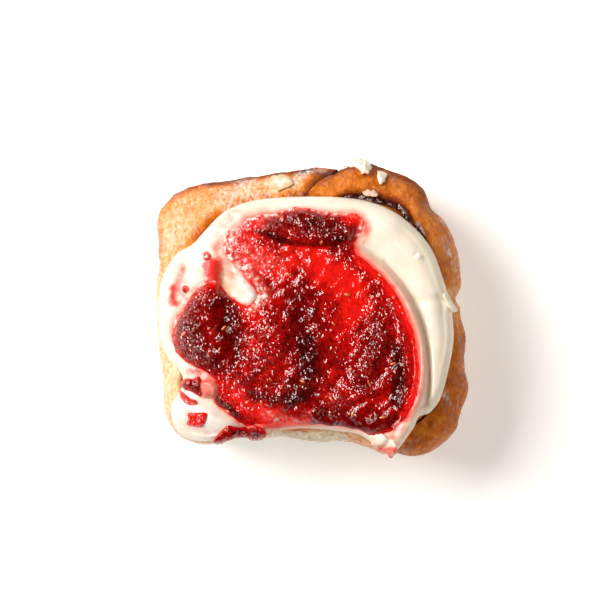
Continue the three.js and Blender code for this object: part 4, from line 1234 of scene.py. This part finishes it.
def scatter_group(name, material):
    """Small rounded grains lying on the upward faces of a surface, whose marks they carry."""
    tree = bpy.data.node_groups.new(name, "GeometryNodeTree")
    face = tree.interface
    face.new_socket("Geometry", in_out="INPUT", socket_type="NodeSocketGeometry")
    for key in ("Grains Per Square Metre", "Nearest Distance"):
        face.new_socket(key, in_out="INPUT", socket_type="NodeSocketFloat")
    face.new_socket("Grain Size", in_out="INPUT", socket_type="NodeSocketVector")
    face.new_socket("Random Seed", in_out="INPUT", socket_type="NodeSocketInt")
    face.new_socket("Geometry", in_out="OUTPUT", socket_type="NodeSocketGeometry")
    given = add(tree, "NodeGroupInput").outputs
    normal = add(tree, "GeometryNodeInputNormal")
    parts = add(tree, "ShaderNodeSeparateXYZ", {0: normal.outputs[0]})
    upward = add(tree, "FunctionNodeCompare", {0: parts.outputs[2], 1: 0.6}, operation="GREATER_THAN")
    points = add(
        tree, "GeometryNodeDistributePointsOnFaces",
        {"Mesh": given[0], "Selection": upward.outputs[0], "Distance Min": given["Nearest Distance"],
         "Density Max": given["Grains Per Square Metre"], "Seed": given["Random Seed"]},
        distribute_method="POISSON",
    )
    ball = add(tree, "GeometryNodeMeshUVSphere", {"Segments": 8, "Rings": 6, "Radius": 0.5})
    shape = add(
        tree, "GeometryNodeTransform", {"Geometry": ball.outputs["Mesh"], "Scale": given["Grain Size"]},
    )
    chance = add(tree, "FunctionNodeRandomValue", data_type="FLOAT")
    angle = maths(tree, "MULTIPLY", maths(tree, "SUBTRACT", chance.outputs[1], 0.5), math.tau)
    turn = add(tree, "ShaderNodeCombineXYZ", {2: angle})
    flat = add(tree, "FunctionNodeEulerToRotation", {0: turn.outputs[0]})
    lying = add(
        tree, "FunctionNodeAlignRotationToVector",
        {"Rotation": flat.outputs[0], "Vector": points.outputs["Normal"]}, axis="Z",
    )
    swell = add(tree, "FunctionNodeRandomValue", {2: 0.65, 3: 1.2, "Seed": 5}, data_type="FLOAT")
    copies = add(
        tree, "GeometryNodeInstanceOnPoints",
        {"Points": points.outputs["Points"], "Instance": shape.outputs[0],
         "Rotation": lying.outputs[0], "Scale": swell.outputs[1]},
    )
    real = add(tree, "GeometryNodeRealizeInstances", {"Geometry": copies.outputs[0]})
    rounded = add(tree, "GeometryNodeSetShadeSmooth", {"Geometry": real.outputs[0]})
    finished = add(tree, "GeometryNodeSetMaterial", {"Geometry": rounded.outputs[0], "Material": material})
    add(tree, "NodeGroupOutput", {0: finished.outputs[0]})
    return tree


def scatter(name, group, surface, **inputs):
    """The grains that a scatter group lays on a surface, as a plain piece."""
    holder = put_in_scene(name + "_holder", surface.data.copy())
    modifier = holder.modifiers.new("Scatter", "NODES")
    modifier.node_group = group
    named = {item.name: item.identifier for item in group.interface.items_tree if item.in_out == "INPUT"}
    for key, value in inputs.items():
        modifier[named[key.replace("_", " ").title()]] = value
    bpy.context.view_layer.update()
    evaluated = holder.evaluated_get(bpy.context.evaluated_depsgraph_get())
    mesh = bpy.data.meshes.new_from_object(evaluated)
    mesh.name = name
    bpy.data.objects.remove(holder)
    return put_in_scene(name, mesh)


# Small bits of frosting

def make_dabs(material):
    """Dabs of frosting on the crust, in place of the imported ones, and smears that join the big swirl."""
    CELL = 0.26
    plain, faint = everywhere(0.0), everywhere(0.2)

    def pink(x, y, depth):
        return 0.56 + 0.2 * smooth(grain(x, y, 0 * x, 2.5, 2, seed=14), -0.4, 0.4)

    def pink_tip(x, y, depth):
        return 0.05 + 0.75 * smooth(y, -44.6, -47) * smooth(grain(x, y, 0 * x, 2, 2, seed=15), -0.8, 0.1)

    # name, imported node, outline, height, slope, unevenness of the edge, lumps, how far its bed is
    # held up, melting edge, stain
    dabs = (
        ("frosting_dab_back_soft", "frosting_dab_back",
         ((10.3, 47.8), (12.6, 49.5), (16, 50.2), (18.3, 49.5), (20, 47.5), (19.3, 45.5), (17.3, 44.8),
          (14.6, 46.8), (12, 47.2)), 2.2, 1.6, (0.8, 1.2), 1.5, FURTHER, 0.3, plain),
        ("frosting_dab_small_soft", "frosting_dab_small",
         ((22.3, 46.2), (25, 45.2), (24.4, 42.4), (22.9, 41.4), (21.7, 44.2)),
         1.0, 1.0, (0.7, 1.2), 0.8, NEARBY, 0.4, plain),
        ("frosting_dab_left_soft", "frosting_dab_left",
         ((-14.6, 42.8), (-12.1, 44.2), (-9.4, 44.2), (-6.4, 42.4), (-7.8, 40.4), (-10.8, 39.6),
          (-13.6, 40.4)), 0.25, 3, (0.8, 2.4), 0.05, NEARBY, 2.4, plain),
        ("frosting_smear_right", None,
         ((43.4, 5), (44.6, 4.6), (46.2, 2.6), (47.6, 0.6), (48.2, -1), (47, -1.4), (45.6, 0),
          (44, 2.4)), 0.5, 0.8, (0.3, 1.6), 0.25, FURTHER, 0, plain),
        ("frosting_smear_start", None,
         ((17, 39), (19.4, 39.4), (21.8, 38.4), (21.6, 37.2), (19, 37.4), (17.2, 38)),
         0.6, 0.9, (0.6, 1.2), 0.5, NEARBY, 0.9, faint),
        ("frosting_lump_front", None,
         ((-37.3, -25.2), (-35.7, -23.6), (-33, -23.8), (-31.2, -25.9), (-31, -28.5), (-33.3, -29.9),
          (-36.3, -29.5), (-37.3, -27.5)), 2.2, 0.8, (0.3, 2), 0.4, NEARBY, 0, pink),
        ("frosting_tail_tip", None,
         ((19.4, -42.4), (19.8, -45.3), (22.1, -47.2), (24.1, -47.6), (25.5, -49.9), (27.7, -48.6),
          (28.2, -46.3), (26, -43.4), (22.7, -41.9)), 0.9, 1.0, (0.7, 1.5), 0.35, FURTHER, 0, pink_tip),
    )
    for name, node, outline, height, slope, roughness, lumps, aside, melting, stain in dabs:
        def thin_and_shade(x, y, depth):
            uneven = depth + 0.5 * melting * grain(x, y, 0 * x, 1.4, 2, seed=17)
            return 1 - smooth(uneven, 0, melting) if melting else 0 * x

        marks = {"stain": stain, "thin_and_shade": thin_and_shade}
        made = soft_bit(name, outline, height, slope, roughness, lumps, aside, CELL, material, marks)
        finish_piece(made, "frosting", *([node] if node else []))


def make_jam_flakes(material):
    """Thin wet flakes of jam, smeared with frosting: a curl in the fold in front, and small spots."""
    FLAKES = {
        "jam_curl": ((-44, -27.4), (-42.6, -28.2), (-40.6, -29.8), (-38.6, -30.6), (-38.4, -31.8),
                     (-40.6, -32), (-42.6, -31.2), (-44, -29.4)),
        "jam_spot_back": ((-36, 17.6), (-35, 18.7), (-33.8, 17.8), (-33.9, 16.5), (-35, 15.9), (-36, 16.6)),
        "jam_spot_left": ((-43.4, 6.4), (-42, 7.6), (-41, 6.2), (-42.2, 5)),
    }

    def shade(x, y, depth):
        return 0.1 + 0.3 * smooth(grain(x, y, 0 * x, 1.5, seed=18), -0.2, 0.3)

    def smear(x, y, depth):
        return 0.2 + 0.5 * smooth(grain(x, y, 0 * x, 1.5, seed=19), -0.3, 0.3)

    marks = {"shade": shade, "smear": smear, "coarse": everywhere(0.3)}
    for name, outline in FLAKES.items():
        flake = soft_bit(name, outline, 0.5, 0.5, (0.2, 1.2), 0.3, NEARBY, 0.24, material, marks)
        finish_piece(flake, "jam")


# Camera, floor and light

def make_camera():
    """Looking straight down, with the roll a little off the middle."""
    DISTANCE = 1178 * MM
    WAIST_PLANE = 22 * MM
    FRAME_WIDTH = 204 * MM
    FRAME_MIDDLE = (-4.08 * MM, 2.72 * MM)
    SENSOR = 36.0
    data = bpy.data.cameras.new("camera")
    data.sensor_width = SENSOR
    data.lens = SENSOR * DISTANCE / FRAME_WIDTH
    camera = put_in_scene("camera", data)
    camera.location = (*FRAME_MIDDLE, DISTANCE + WAIST_PLANE)
    bpy.context.scene.camera = camera


def make_floor():
    HALF = 4000
    BELOW = -0.2
    corners = [(x, y, BELOW) for x, y in ((-HALF, -HALF), (HALF, -HALF), (HALF, HALF), (-HALF, HALF))]
    make_object("floor", corners, [(0, 1, 2, 3)], floor_material())


def make_light(name, direction, distance, size, power, colour, lights=True, mirrored=True):
    """A square soft light at a distance in a direction, turned to the roll."""
    data = bpy.data.lights.new(name, "AREA")
    data.size = size
    data.energy = power
    data.color = colour
    light = put_in_scene(name, data)
    way = Vector(direction).normalized()
    light.location = way * distance
    light.rotation_euler = way.to_track_quat("Z", "Y").to_euler()
    light.visible_diffuse = lights
    light.visible_glossy = mirrored


def make_studio():
    """A key light from the upper left with its glints apart, a warm fill, and a faint warm surround."""
    UPPER_LEFT = (-0.62, 0.32, 0.8)
    LOWER_RIGHT = (0.6, -0.35, 0.7)
    make_light("key_light", UPPER_LEFT, 1.1, 0.6, 17, (1.0, 0.97, 0.93), mirrored=False)
    make_light("glint_light", UPPER_LEFT, 1.1, 0.85, 60, (1.0, 0.93, 0.88), lights=False)
    make_light("fill_light", LOWER_RIGHT, 1.5, 1.4, 7.6, (1.0, 0.93, 0.83), mirrored=False)
    world = bpy.data.worlds.new("studio")
    world.use_nodes = True
    surround = world.node_tree.nodes["Background"].inputs
    surround["Color"].default_value = (1.0, 0.93, 0.82, 1)
    surround["Strength"].default_value = 0.12
    world.cycles_visibility.glossy = False
    bpy.context.scene.world = world
    bpy.context.scene.view_settings.view_transform = "Standard"


def main():
    make_camera()
    make_floor()
    make_studio()

    crust = crust_material()
    filling = filling_material()
    frosting = frosting_material()
    jam = jam_material()
    seed = seed_material()

    finish_piece(make_dough(crust), "crust", "dough_coil")
    layer, eye = make_filling(filling)
    finish_piece(layer, "filling", "berry_filling")
    finish_piece(eye, "filling")
    finish_piece(make_frosting(frosting), "frosting", "frosting_swirl")
    spread = make_jam(jam)
    seeds = scatter(
        "berry_seeds", scatter_group("seed_scatter", seed), spread, grains_per_square_metre=9000.0,
        nearest_distance=0.007, grain_size=[length * MM for length in SEED_SIZE], random_seed=4,
    )
    finish_piece(spread, "jam", "jam_spread")
    finish_piece(seeds, "jam")
    for node, outline in JAM_BITS.items():
        finish_piece(make_jam_bit(node, outline, jam), "jam", node)
    make_jam_flakes(jam)
    make_dabs(frosting)


main()
